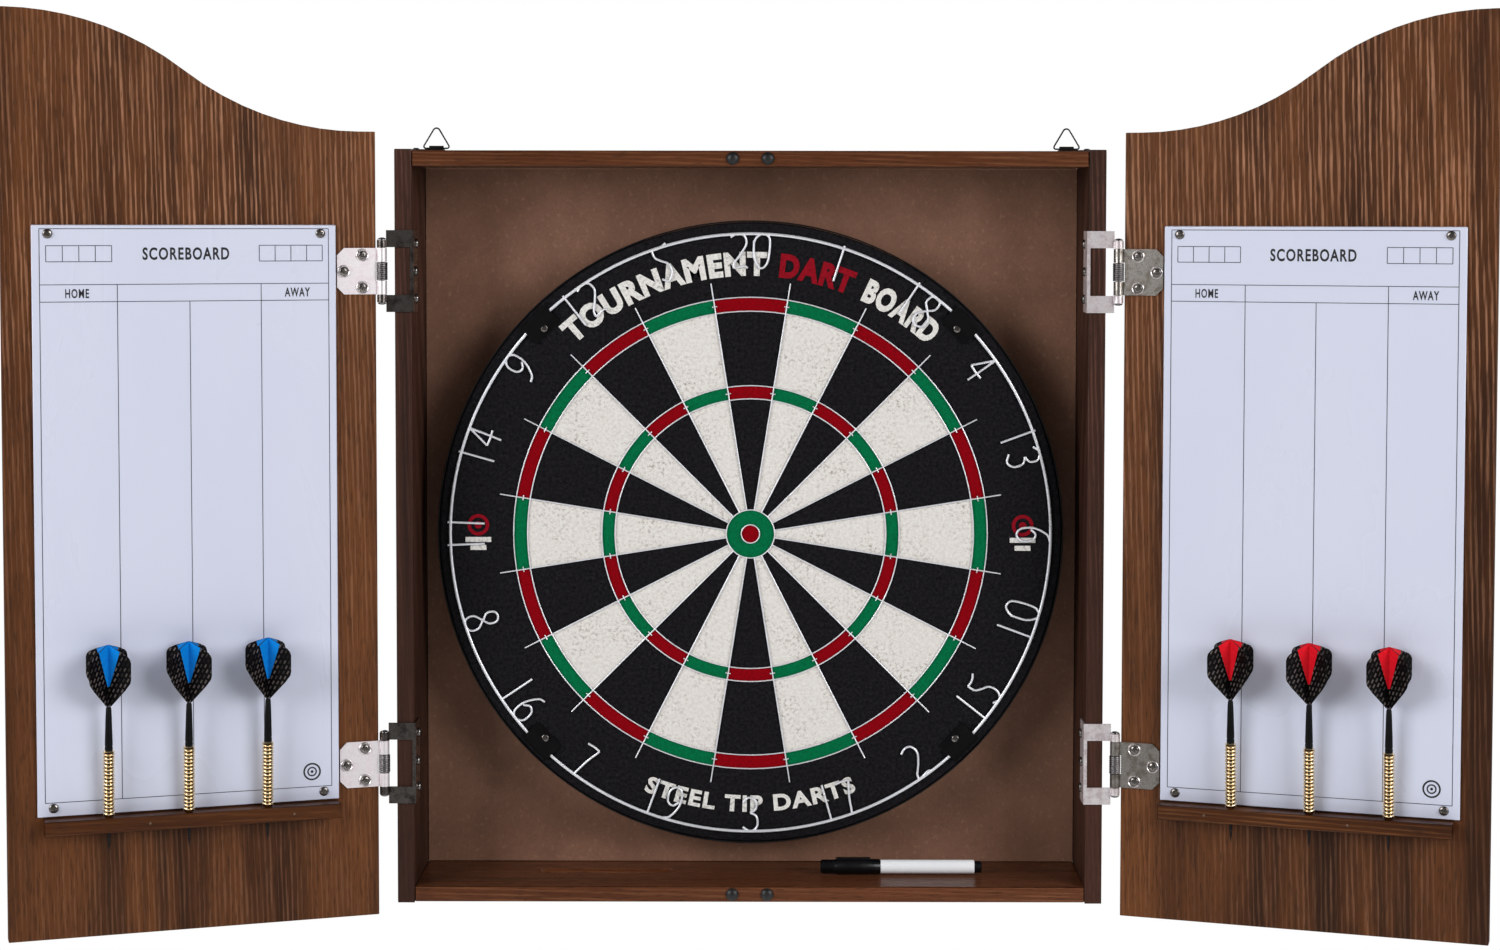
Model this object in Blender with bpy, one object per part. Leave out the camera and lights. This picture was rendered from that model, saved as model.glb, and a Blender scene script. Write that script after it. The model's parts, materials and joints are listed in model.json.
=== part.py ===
"""Wall cabinet for a bristle dartboard: two shaped doors with scoreboards and dart racks.

Units are metres. +Z is up, the viewer stands at -Y and the wall is the plane Y = 0.
The origin is the middle of the cabinet's back face. The doors are modelled wide open,
each in the frame of its own hinge axis, where +Y is the way its inner face looks.
"""

from math import asin, atan, cos, pi, radians, sin, sqrt

import bmesh
import bpy
from mathutils import Matrix, Vector

# Cabinet box
CABINET_WIDTH = 0.5005
CABINET_HEIGHT = 0.5354
INNER_DEPTH = 0.077
SIDE_THICKNESS = 0.012
SHELF_THICKNESS = 0.011  # top and bottom panels
SHELF_INSET = 0.001  # the sides stand this much past the top and bottom panels
BACK_THICKNESS = 0.006
PANEL_EDGE = 0.0004  # small bevel along a foiled panel's edges
GAP = 0.0003  # between pieces that touch
MERGE = 0.000002  # points of a turned piece this near each other are one

# Sides of the turned pieces
BOARD_SIDES = 48
RING_SIDES = 40
SMALL_SIDES = 12
HOLE_SIDES = 8

# Pen groove in the bottom panel
GROOVE_LENGTH = 0.102
GROOVE_WIDTH = 0.013
GROOVE_DEPTH = 0.003
GROOVE_X = -0.1045
GROOVE_FROM_FRONT = 0.048

# Doors
DOOR_WIDTH = 0.2545
DOOR_THICKNESS = 0.012
DOOR_BOTTOM = -0.2756
DOOR_HINGE_TOP = 0.2796
DOOR_FREE_TOP = 0.3610
OGEE_START = 0.012
OGEE_END = 0.251
OGEE_STEPS = 9  # per arc
DOOR_EDGE = 0.004  # from the hinge axis to the door's edge
DOOR_STANDOFF = 0.0035  # closed door's inner face to the cabinet's front
OPEN_ANGLE = radians(161.6)

# Scoreboards and racks, measured from the door's hinged edge
SCORE_OFFSET = 0.0286
SCORE_WIDTH = 0.206
SCORE_TOP = 0.2143
SCORE_BOTTOM = -0.1902
SCORE_THICKNESS = 0.0028
RACK_OFFSET = 0.0290
RACK_WIDTH = 0.2020
RACK_TOP = -0.1912
RACK_HEIGHT = 0.0103
RACK_DEPTH = 0.015
RACK_HOLE_R = 0.0021

# Darts, measured along each dart's axis from the rack's top
DART_COUNT = 3
DART_MIDDLE = 0.1336  # middle dart, from the door's hinged edge
DART_PITCH = 0.054
DART_STANDOFF = 0.011  # axis to the door's inner face, at the rack's top
DART_TILT = radians(4.1)
POINT_END = -0.0236
POINT_TAPER = 0.011
POINT_R = 0.00115
BARREL_R = 0.0041
BARREL_LENGTH = 0.0470
SHAFT_END = 0.0774
FLIGHT_START = 0.0777
FLIGHT_WIDEST = (0.0970, 0.1120)
FLIGHT_END = 0.1205
FLIGHT_R = 0.0198
FLIGHT_TOP_R = 0.0105
FLIGHT_THICKNESS = 0.0006

# Hinges: a partial-wrap cabinet hinge with a spring barrel between its knuckles
HINGE_HEIGHTS = {"upper": 0.1818, "lower": -0.1672}
AXIS_OUT = 0.00865  # hinge axis to the cabinet's outer side face
AXIS_FORWARD = 0.00175  # hinge axis in front of the cabinet's front plane
LEAF_THICKNESS = 0.0012
ARM_INNER = 0.0168
ARM_OUTER = 0.0288
FRAME_PLATE_DEPTH = 0.021
DOOR_PLATE_HALF = 0.01625
DOOR_PLATE_REACH = 0.0316
DOOR_PLATE_NOTCH = 0.0046
PLATE_CHAMFER = 0.005
KNUCKLE_R = 0.0035
KNUCKLE_BORE_R = 0.0023
KNUCKLE_INNER = 0.0067
KNUCKLE_END = 0.0219
PIN_R = 0.0019
PIN_HEAD_R = 0.0031
PIN_HEAD_HEIGHT = 0.0015
SPRING_R = 0.004
SPRING_HALF = 0.0063
SCREW_HOLE_R = 0.0018

# Door bumpers in the front edges of the top and bottom panels
BUMPER_X = 0.0124
BUMPER_R = 0.0045
BUMPER_HEIGHT = 0.0028
BUMPER_STEM_R = 0.0025
BUMPER_STEM_LENGTH = 0.008

# Hanger loops on the cabinet's top
HANGER_X = 0.2302
HANGER_PLATE_X = (0.2475, 0.2235)
HANGER_PLATE_Y = (-0.0175, -0.0055)
HANGER_PLATE_T = 0.001
HANGER_FOLD_R = 0.0019
HANGER_FOLD_BORE_R = 0.0009
HANGER_FOLD_HALF = 0.0052
HANGER_AXIS_Y = -0.0034
LOOP_WIRE_R = 0.0006
LOOP_HALF = 0.0092
LOOP_HEIGHT = 0.0148
LOOP_CORNER_R = 0.0014
LOOP_APEX_R = 0.0026
LOOP_LEAN = radians(3)

# Dartboard, centred on the bull
BULL_Z = -0.0078
BOARD_GAP = 0.004  # back panel to the board's back
BOARD_R = 0.2255
BAND_THICKNESS = 0.001
BACKING_THICKNESS = 0.009
SISAL_THICKNESS = 0.0267
FACE_SETBACK = 0.002  # the band's front edge behind the sisal's face
FACE_ROUND = 0.003
RING_RADII = (0.0174, 0.0975, 0.107, 0.1605, 0.1705)
SEGMENTS = 20
SPIDER_WIDTH = 0.0011
SPIDER_OVERSHOOT = 0.012
NUMBER_RING_R = 0.216
NUMBER_WIRE_R = 0.0011

# Bracket on the back panel, and the screw that hangs the board in it
BRACKET_HALF_WIDTH = 0.024
BRACKET_RAISED_HALF = 0.012
BRACKET_T = 0.001
BRACKET_RISE = 0.0022
BRACKET_BELOW = 0.018
BRACKET_ABOVE = 0.026
BRACKET_SCREWS = [(x, z) for z in (0.014, -0.008) for x in (-0.0195, 0.0195)]
SLOT_R = 0.0024
SHANK_R = 0.002
SHANK_IN_BOARD = 0.009
HEAD_R = 0.0048
HEAD_HEIGHT = 0.0013

# Marker on the bottom panel
MARKER_X = (0.0510, 0.1675)  # cap end, barrel end
MARKER_CAP_LENGTH = 0.0430
MARKER_BODY_R = 0.0050
MARKER_NECK_R = 0.0042
MARKER_NECK_LENGTH = 0.011
MARKER_NIB_R = 0.0017
MARKER_NIB_LENGTH = 0.009
MARKER_CAP_R = 0.0056
MARKER_CAP_BORE_R = 0.0046
MARKER_CAP_END = 0.004
MARKER_FROM_FRONT = 0.037

# Worked out from the sizes above
HALF_WIDTH = CABINET_WIDTH / 2
HALF_HEIGHT = CABINET_HEIGHT / 2
INNER_HALF = HALF_WIDTH - SIDE_THICKNESS
FRONT_Y = -(BACK_THICKNESS + INNER_DEPTH)
SHELF_TOP = -HALF_HEIGHT + SHELF_INSET + SHELF_THICKNESS
FACE_Y = -(DOOR_STANDOFF - AXIS_FORWARD)  # door's inner face, in its hinge's frame
BOARD_BACK_Y = -(BACK_THICKNESS + BOARD_GAP)


def clear_scene():
    for obj in list(bpy.data.objects):
        bpy.data.objects.remove(obj, do_unlink=True)


def material(name, color, roughness, metallic=0.0):
    made = bpy.data.materials.new(name)
    made.use_nodes = True
    shader = made.node_tree.nodes["Principled BSDF"]
    shader.inputs["Base Color"].default_value = (*color, 1)
    shader.inputs["Roughness"].default_value = roughness
    shader.inputs["Metallic"].default_value = metallic
    made.diffuse_color = (*color, 1)
    return made


def make_materials():
    return {
        "walnut": material("walnut_foil", (0.150, 0.072, 0.040), 0.5),
        "fibreboard": material("brown_fibreboard", (0.190, 0.098, 0.058), 0.7),
        "nickel": material("nickel_plate", (0.62, 0.60, 0.57), 0.28, 1.0),
        "spring": material("blued_steel", (0.16, 0.16, 0.17), 0.35, 1.0),
        "rubber": material("black_rubber", (0.012, 0.012, 0.013), 0.6),
        "wire": material("bright_wire", (0.60, 0.61, 0.63), 0.3, 1.0),
        "sisal": material("sisal", (0.48, 0.45, 0.38), 0.9),
        "band": material("black_band", (0.014, 0.014, 0.015), 0.5),
        "chipboard": material("chipboard", (0.36, 0.26, 0.16), 0.85),
        "white_panel": material("white_panel", (0.70, 0.72, 0.84), 0.35),
        "brass": material("brass", (0.72, 0.50, 0.20), 0.28, 1.0),
        "shaft": material("black_nylon", (0.012, 0.012, 0.013), 0.45),
        "flight": material("flight_film", (0.020, 0.020, 0.024), 0.4),
        "marker": material("marker_white", (0.78, 0.78, 0.80), 0.35),
        "marker_cap": material("marker_black", (0.014, 0.014, 0.016), 0.4),
    }


def finish_mesh(name, bm, mat, smooth=False):
    """Turns a bmesh into a named object with outward faces."""
    bmesh.ops.recalc_face_normals(bm, faces=bm.faces)
    mesh = bpy.data.meshes.new(name)
    bm.to_mesh(mesh)
    bm.free()
    if mat:
        mesh.materials.append(mat)
    obj = bpy.data.objects.new(name, mesh)
    bpy.context.scene.collection.objects.link(obj)
    if smooth:
        mesh.shade_smooth()
        mesh.set_sharp_from_angle(angle=radians(35))
    return obj


def box(name, low, high, mat, edge=0.0):
    """A block between two opposite corners, given in any order."""
    corners = [sorted(pair) for pair in zip(low, high)]
    size = Vector([b - a for a, b in corners])
    middle = Vector([(a + b) / 2 for a, b in corners])
    bm = bmesh.new()
    bmesh.ops.create_cube(bm, size=1, matrix=Matrix.Diagonal((*size, 1)))
    obj = finish_mesh(name, bm, mat)
    obj.location = middle
    if edge:
        bevel = obj.modifiers.new("edges", "BEVEL")
        bevel.width = edge
        bevel.segments = 1
        bevel.limit_method = "ANGLE"
    return obj


AXIS_ORDER = {"X": (2, 0, 1), "Y": (0, 2, 1), "Z": (0, 1, 2)}


def prism(name, outline, low, high, axis, mat, smooth=False):
    """An outline in the plane across `axis`, extruded from low to high.
    The outline's two numbers are (y, z), (x, z) or (x, y)."""
    order = AXIS_ORDER[axis]
    bm = bmesh.new()
    points = [(a, b, low) for a, b in outline]
    face = bm.faces.new([bm.verts.new([p[i] for i in order]) for p in points])
    grown = bmesh.ops.extrude_face_region(bm, geom=[face])
    moved = [v for v in grown["geom"] if isinstance(v, bmesh.types.BMVert)]
    step = [0.0, 0.0, high - low]
    bmesh.ops.translate(bm, vec=[step[i] for i in order], verts=moved)
    return finish_mesh(name, bm, mat, smooth)


def turned(name, profile, segments, mat):
    """A profile of (radius, height) turned about the local Z axis."""
    bm = bmesh.new()
    verts = [bm.verts.new((r, 0, z)) for r, z in profile]
    edges = [bm.edges.new(pair) for pair in zip(verts, verts[1:])]
    closed = profile[0][0] > 0
    if closed:
        edges.append(bm.edges.new((verts[-1], verts[0])))
    bmesh.ops.spin(
        bm,
        geom=verts + edges,
        cent=(0, 0, 0),
        axis=(0, 0, 1),
        angle=2 * pi,
        steps=segments,
        use_merge=False,
    )
    bmesh.ops.remove_doubles(bm, verts=bm.verts, dist=MERGE)
    return finish_mesh(name, bm, mat, smooth=True)


def boolean(obj, helper, operation):
    """Cuts or joins a helper object, which stays hidden."""
    helper.hide_render = True
    helper.display_type = "WIRE"
    modifier = obj.modifiers.new(helper.name, "BOOLEAN")
    modifier.operation = operation
    modifier.object = helper
    modifier.solver = "EXACT"


def empty(name, location, rotation=(0, 0, 0), parent=None):
    obj = bpy.data.objects.new(name, None)
    obj.location = location
    obj.rotation_euler = rotation
    obj.parent = parent
    bpy.context.scene.collection.objects.link(obj)
    return obj


def arc(centre, radius, start, end, steps):
    """Points on an arc in degrees, both ends included."""
    angles = [radians(start + (end - start) * i / steps) for i in range(steps + 1)]
    return [(centre[0] + radius * cos(a), centre[1] + radius * sin(a)) for a in angles]


# Cabinet box


def side_panels(mats):
    for name, side in (("left", -1), ("right", 1)):
        low = (side * INNER_HALF, 0, -HALF_HEIGHT)
        high = (side * HALF_WIDTH, FRONT_Y, HALF_HEIGHT)
        box(f"{name}_side_panel", low, high, mats["walnut"], PANEL_EDGE)


def shelf_panel(name, low_z, mats):
    reach = INNER_HALF - GAP
    low = (-reach, 0, low_z)
    high = (reach, FRONT_Y, low_z + SHELF_THICKNESS)
    panel = box(name, low, high, mats["walnut"], PANEL_EDGE)
    for x in (-BUMPER_X, BUMPER_X):
        hole = turned(f"{name}_hole", stem_hole_profile(), HOLE_SIDES, None)
        hole.location = (x, FRONT_Y, low_z + SHELF_THICKNESS / 2)
        hole.rotation_euler = (-pi / 2, 0, 0)
        boolean(panel, hole, "DIFFERENCE")
    return panel


def stem_hole_profile():
    radius = BUMPER_STEM_R + 2 * GAP
    return [
        (0, BUMPER_STEM_LENGTH + GAP),
        (radius, BUMPER_STEM_LENGTH + GAP),
        (radius, -0.002),
        (0, -0.002),
    ]


def pen_groove(panel):
    """A shallow slot with round ends, open upwards."""
    reach = (GROOVE_LENGTH - GROOVE_WIDTH) / 2
    radius = GROOVE_WIDTH / 2
    outline = arc((reach, 0), radius, -90, 90, 8) + arc((-reach, 0), radius, 90, 270, 8)
    floor = SHELF_TOP - GROOVE_DEPTH
    cutter = prism("pen_groove", outline, floor, SHELF_TOP + 0.002, "Z", None)
    cutter.location = (GROOVE_X, FRONT_Y + GROOVE_FROM_FRONT, 0)
    boolean(panel, cutter, "DIFFERENCE")


def cabinet_box(mats):
    side_panels(mats)
    top = HALF_HEIGHT - SHELF_INSET - SHELF_THICKNESS
    shelf_panel("top_panel", top, mats)
    bottom = shelf_panel("bottom_panel", SHELF_TOP - SHELF_THICKNESS, mats)
    pen_groove(bottom)
    low = (-INNER_HALF + GAP, 0, SHELF_TOP + GAP)
    high = (INNER_HALF - GAP, -BACK_THICKNESS, top - GAP)
    box("back_panel", low, high, mats["fibreboard"])


def bumpers(mats):
    """Rubber buffers pushed into the front edges, which the closed doors meet."""
    profile = [
        (0, BUMPER_STEM_LENGTH),
        (BUMPER_STEM_R, BUMPER_STEM_LENGTH),
        (BUMPER_STEM_R, -GAP),
        (BUMPER_R, -GAP),
        (BUMPER_R, -BUMPER_HEIGHT + 0.0008),
        (BUMPER_R - 0.0008, -BUMPER_HEIGHT),
        (0, -BUMPER_HEIGHT),
    ]
    middle = HALF_HEIGHT - SHELF_INSET - SHELF_THICKNESS / 2
    for level, z in (("top", middle), ("bottom", -middle)):
        for name, x in (("left", -BUMPER_X), ("right", BUMPER_X)):
            bumper = turned(f"{level}_{name}_bumper", profile, SMALL_SIDES, mats["rubber"])
            bumper.location = (x, FRONT_Y, z)
            bumper.rotation_euler = (-pi / 2, 0, 0)


# Hanger loops


def hanger_plate(name, side, mats):
    """A strap on the cabinet's top, its rear edge folded round the loop's base."""
    bottom = HALF_HEIGHT + GAP
    xs = [side * x for x in HANGER_PLATE_X]
    low = (xs[0], HANGER_PLATE_Y[0], bottom)
    high = (xs[1], HANGER_PLATE_Y[1], bottom + HANGER_PLATE_T)
    plate = box(f"{name}_hanger_plate", low, high, mats["nickel"])
    hole_x = side * (HALF_WIDTH - SIDE_THICKNESS / 2)
    hole_y = sum(HANGER_PLATE_Y) / 2
    hole = turned(f"{name}_hanger_hole", through_hole(SCREW_HOLE_R, 0.004), HOLE_SIDES, None)
    hole.location = (hole_x, hole_y, bottom)
    boolean(plate, hole, "DIFFERENCE")
    centre = (HANGER_AXIS_Y, bottom + HANGER_FOLD_R)
    tail = HANGER_PLATE_Y[0] / 3 + HANGER_PLATE_Y[1] * 2 / 3
    outline = arc(centre, HANGER_FOLD_R, -90, 200, 10)
    outline += arc(centre, HANGER_FOLD_BORE_R, 200, -70, 8)
    rise = bottom + HANGER_PLATE_T - 0.0001
    outline += [(HANGER_AXIS_Y + 0.0001, rise), (tail, rise), (tail, bottom + 0.0001)]
    outline[0] = (HANGER_AXIS_Y, bottom + 0.0001)
    xs = [side * HANGER_X - HANGER_FOLD_HALF, side * HANGER_X + HANGER_FOLD_HALF]
    fold = prism(f"{name}_hanger_fold", outline, xs[0], xs[1], "X", None)
    boolean(plate, fold, "UNION")


def through_hole(radius, half_length):
    return [(0, half_length), (radius, half_length), (radius, -half_length), (0, -half_length)]


def rounded_triangle():
    """The loop's path in its own plane, base along the fold: (x, z)."""
    slope = atan(LOOP_HEIGHT / LOOP_HALF)
    corner_z = LOOP_CORNER_R
    corner_x = LOOP_HALF - LOOP_CORNER_R
    turn = 180 - slope * 180 / pi
    lean = 90 - slope * 180 / pi
    apex = (0, LOOP_HEIGHT - LOOP_APEX_R)
    path = arc((corner_x, corner_z), LOOP_CORNER_R, -90, -90 + turn, 4)
    path += arc(apex, LOOP_APEX_R, lean, 180 - lean, 5)
    path += arc((-corner_x, corner_z), LOOP_CORNER_R, 270 - turn, 270, 4)
    return path


def hanger_loop(name, side, mats):
    curve = bpy.data.curves.new(f"{name}_hanger_loop", "CURVE")
    curve.dimensions = "3D"
    curve.bevel_depth = LOOP_WIRE_R
    curve.bevel_resolution = 2
    path = rounded_triangle()
    spline = curve.splines.new("POLY")
    spline.points.add(len(path) - 1)
    for point, (x, z) in zip(spline.points, path):
        point.co = (x, 0, z, 1)
    spline.use_cyclic_u = True
    curve.materials.append(mats["nickel"])
    loop = bpy.data.objects.new(f"{name}_hanger_loop", curve)
    bpy.context.scene.collection.objects.link(loop)
    loop.location = (side * HANGER_X, HANGER_AXIS_Y, HALF_HEIGHT + GAP + HANGER_FOLD_R)
    loop.rotation_euler = (-LOOP_LEAN, 0, 0)


def hangers(mats):
    for name, side in (("left", -1), ("right", 1)):
        hanger_plate(name, side, mats)
        hanger_loop(name, side, mats)


# Hinges


def knuckle(name, low, high, parent, z):
    profile = [(KNUCKLE_R, high), (KNUCKLE_R, low), (KNUCKLE_BORE_R, low), (KNUCKLE_BORE_R, high)]
    tube = turned(name, profile, SMALL_SIDES, None)
    tube.parent = parent
    tube.location.z = z
    return tube


def screw_cutter(name, parent, location, rotation):
    cutter = turned(name, through_hole(SCREW_HOLE_R, 0.003), HOLE_SIDES, None)
    cutter.parent = parent
    cutter.location = location
    cutter.rotation_euler = rotation
    return cutter


FRAME_SCREWS = ((0.014, -0.0195), (0.0095, 0.0), (0.014, 0.0195))  # (depth, height)
DOOR_SCREWS = ((0.0142, -0.0117), (0.0275, 0.0), (0.0142, 0.0117))  # (reach, height)


def frame_leaf(name, side, z, parent, mats):
    """Two arms cross the side panel's front edge to a plate on its inner face."""
    near, far = AXIS_FORWARD - GAP - LEAF_THICKNESS, AXIS_FORWARD - GAP
    inner = AXIS_OUT + SIDE_THICKNESS + GAP
    outer = inner + LEAF_THICKNESS
    start = (KNUCKLE_R + KNUCKLE_BORE_R) / 2
    back = far + FRAME_PLATE_DEPTH
    bend = [(start, far), (start, near), (outer, near), (outer, back), (inner, back), (inner, far)]
    outline = [(side * x, y) for x, y in bend]
    leaf = prism(name, outline, -ARM_OUTER, ARM_OUTER, "Z", mats["nickel"])
    leaf.parent = parent
    leaf.location.z = z
    low = (side * -0.01, near - 0.004, -ARM_INNER)
    high = (side * (inner - 0.0012), far + 0.004, ARM_INNER)
    window = box(f"{name}_window", low, high, None)
    window.parent = parent
    window.location.z += z
    boolean(leaf, window, "DIFFERENCE")
    for i, sign in enumerate((1, -1)):
        spans = sorted((sign * (DOOR_PLATE_HALF + GAP), sign * KNUCKLE_END))
        tube = knuckle(f"{name}_knuckle_{i}", spans[0], spans[1], parent, z)
        boolean(leaf, tube, "UNION")
    for i, (depth, height) in enumerate(FRAME_SCREWS):
        place = (side * inner, far + depth, z + height)
        boolean(leaf, screw_cutter(f"{name}_hole_{i}", parent, place, (0, pi / 2, 0)), "DIFFERENCE")


def door_leaf(name, side, z, parent, mats):
    """A plate on the door's inner face, notched round the spring barrel."""
    low_y, high_y = FACE_Y + GAP, FACE_Y + GAP + LEAF_THICKNESS
    start = (KNUCKLE_R + KNUCKLE_BORE_R) / 2
    half, cut, tab = DOOR_PLATE_HALF, PLATE_CHAMFER, KNUCKLE_INNER
    far = DOOR_PLATE_REACH
    upper = [(DOOR_PLATE_NOTCH, tab), (start, tab), (start, half), (far - cut, half), (far, half - cut)]
    lower = [(x, -y) for x, y in reversed(upper)]
    outline = [(side * x, y) for x, y in upper + lower]
    leaf = prism(name, outline, low_y, high_y, "Y", mats["nickel"])
    leaf.parent = parent
    leaf.location.z = z
    for i, sign in enumerate((1, -1)):
        spans = sorted((sign * KNUCKLE_INNER, sign * DOOR_PLATE_HALF))
        tube = knuckle(f"{name}_knuckle_{i}", spans[0], spans[1], parent, z)
        boolean(leaf, tube, "UNION")
    for i, (reach, height) in enumerate(DOOR_SCREWS):
        place = (side * reach, low_y, z + height)
        boolean(leaf, screw_cutter(f"{name}_hole_{i}", parent, place, (pi / 2, 0, 0)), "DIFFERENCE")


def hinge_pin(name, z, parent, mats):
    """The pin with its two domed heads and the spring barrel in the middle."""
    half = [
        (0, KNUCKLE_END + GAP + PIN_HEAD_HEIGHT),
        (PIN_HEAD_R * 0.7, KNUCKLE_END + GAP + PIN_HEAD_HEIGHT * 0.8),
        (PIN_HEAD_R, KNUCKLE_END + GAP),
        (PIN_R, KNUCKLE_END + GAP),
        (PIN_R, SPRING_HALF),
        (SPRING_R, SPRING_HALF),
    ]
    profile = half + [(r, -height) for r, height in reversed(half)]
    pin = turned(name, profile, SMALL_SIDES, mats["spring"])
    pin.parent = parent
    pin.location.z = z


# Doors


def ogee_height(reach):
    """The door's top edge: two equal arcs that meet level ends."""
    half_run = (OGEE_END - OGEE_START) / 2
    half_rise = (DOOR_FREE_TOP - DOOR_HINGE_TOP) / 2
    radius = (half_run**2 + half_rise**2) / (2 * half_rise)
    run = min(max(reach - OGEE_START, 0), 2 * half_run)
    if run <= half_run:
        return DOOR_HINGE_TOP + radius - sqrt(radius**2 - run**2)
    rest = 2 * half_run - run
    return DOOR_FREE_TOP - radius + sqrt(radius**2 - rest**2)


def door_panel(name, side, parent, mats):
    steps = 2 * OGEE_STEPS
    reaches = [0] + [
        OGEE_START + (OGEE_END - OGEE_START) * i / steps for i in range(steps + 1)
    ]
    reaches.append(DOOR_WIDTH)
    top = [(side * (DOOR_EDGE + r), ogee_height(r)) for r in reaches]
    bottom = [(side * (DOOR_EDGE + r), DOOR_BOTTOM) for r in (DOOR_WIDTH, 0)]
    door = prism(name, top + bottom, FACE_Y - DOOR_THICKNESS, FACE_Y, "Y", mats["walnut"])
    bevel = door.modifiers.new("edges", "BEVEL")
    bevel.width = PANEL_EDGE
    bevel.segments = 1
    bevel.limit_method = "ANGLE"
    bevel.angle_limit = radians(40)
    door.parent = parent


def scoreboard(name, side, parent, mats):
    start = DOOR_EDGE + SCORE_OFFSET
    low = (side * start, FACE_Y + GAP, SCORE_BOTTOM)
    high = (side * (start + SCORE_WIDTH), FACE_Y + GAP + SCORE_THICKNESS, SCORE_TOP)
    box(name, low, high, mats["white_panel"], PANEL_EDGE).parent = parent


def dart_reach(index):
    """A dart's distance from the hinge axis. Dart 1 is the nearest to the hinge."""
    return DOOR_EDGE + DART_MIDDLE + (index - 2) * DART_PITCH


def dart_rack(name, side, parent, mats):
    start = DOOR_EDGE + RACK_OFFSET
    low = (side * start, FACE_Y + GAP, RACK_TOP - RACK_HEIGHT)
    high = (side * (start + RACK_WIDTH), FACE_Y + RACK_DEPTH, RACK_TOP)
    rack = box(name, low, high, mats["walnut"], PANEL_EDGE)
    rack.parent = parent
    drift = RACK_HEIGHT / 2 * sin(DART_TILT)
    for i in range(1, DART_COUNT + 1):
        cutter = turned(f"{name}_hole_{i}", through_hole(RACK_HOLE_R, RACK_HEIGHT), SMALL_SIDES, None)
        cutter.parent = parent
        cutter.location = (
            side * dart_reach(i),
            FACE_Y + DART_STANDOFF - drift,
            RACK_TOP - RACK_HEIGHT / 2,
        )
        boolean(rack, cutter, "DIFFERENCE")


# Darts


def barrel_profile():
    """Point and barrel as one turned piece, with a waist at the middle of the grip."""
    profile = [
        (0, BARREL_LENGTH),
        (BARREL_R - 0.0007, BARREL_LENGTH),
        (BARREL_R, BARREL_LENGTH - 0.0008),
    ]
    middle = (GAP + BARREL_LENGTH) / 2
    profile += [(BARREL_R, middle + 0.0015), (BARREL_R - 0.0005, middle)]
    profile += [(BARREL_R, middle - 0.0015)]
    profile += [
        (BARREL_R, 0.0016),
        (BARREL_R - 0.0014, GAP),
        (POINT_R, GAP),
        (POINT_R, POINT_END + POINT_TAPER),
        (0, POINT_END),
    ]
    return profile


def shaft_profile():
    return [
        (0, SHAFT_END),
        (0.0017, SHAFT_END),
        (0.0021, SHAFT_END - 0.006),
        (0.0026, BARREL_LENGTH + 0.008),
        (0.0027, BARREL_LENGTH + GAP),
        (0, BARREL_LENGTH + GAP),
    ]


def wing_outline():
    """Two opposite wings of a flight as one outline: (across, along)."""
    half = [
        (0.0012, FLIGHT_START),
        (FLIGHT_R * 0.62, FLIGHT_START + (FLIGHT_WIDEST[0] - FLIGHT_START) * 0.55),
        (FLIGHT_R, FLIGHT_WIDEST[0]),
        (FLIGHT_R, FLIGHT_WIDEST[1]),
        (FLIGHT_TOP_R, FLIGHT_END),
    ]
    return half + [(-x, z) for x, z in reversed(half)]


def flight(name, parent, mats):
    """Four wings: two crossed plates joined into one."""
    half = FLIGHT_THICKNESS / 2
    plate = prism(name, wing_outline(), -half, half, "Y", mats["flight"])
    other = prism(f"{name}_crossing", wing_outline(), -half, half, "Y", None)
    for wing, angle in ((plate, pi / 4), (other, -pi / 4)):
        wing.parent = parent
        wing.rotation_euler.z = angle
    boolean(plate, other, "UNION")


def dart(name, side, index, parent, mats):
    place = (side * dart_reach(index), FACE_Y + DART_STANDOFF, RACK_TOP)
    axis = empty(f"{name}_axis", place, (-DART_TILT, 0, 0), parent)
    turned(f"{name}_barrel", barrel_profile(), SMALL_SIDES, mats["brass"]).parent = axis
    turned(f"{name}_shaft", shaft_profile(), SMALL_SIDES, mats["shaft"]).parent = axis
    flight(f"{name}_flight", axis, mats)


def doors(mats):
    """Each door, its hinges, scoreboard, rack and darts. On the left door +X of the
    hinge's frame points from the hinge to the free edge, on the right door -X does."""
    for name, side in (("left", 1), ("right", -1)):
        place = (-side * (HALF_WIDTH + AXIS_OUT), FRONT_Y - AXIS_FORWARD, 0)
        fixed = empty(f"{name}_hinge_line", place)
        swing = empty(f"{name}_door_axis", place, (0, 0, -side * OPEN_ANGLE))
        for level, z in HINGE_HEIGHTS.items():
            frame_leaf(f"{level}_{name}_frame_leaf", side, z, fixed, mats)
            hinge_pin(f"{level}_{name}_hinge_pin", z, fixed, mats)
            door_leaf(f"{level}_{name}_door_leaf", side, z, swing, mats)
        door_panel(f"{name}_door", side, swing, mats)
        scoreboard(f"{name}_scoreboard", side, swing, mats)
        dart_rack(f"{name}_dart_rack", side, swing, mats)
        for i in range(1, DART_COUNT + 1):
            dart(f"{name}_dart_{i}", side, i, swing, mats)


# Dartboard


def board_disc(name, back, front, rounding, bore, mat, parent):
    """A disc between two depths, its front edge rounded. Local Z runs to the front."""
    radius = BOARD_R - BAND_THICKNESS - GAP
    profile = [(bore, front)]
    profile += [
        (radius - rounding + rounding * sin(a), front - rounding + rounding * cos(a))
        for a in (0, pi / 4, pi / 2)
    ]
    profile += [(radius, back), (bore, back)]
    disc = turned(name, profile, BOARD_SIDES, mat)
    disc.parent = parent


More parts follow.
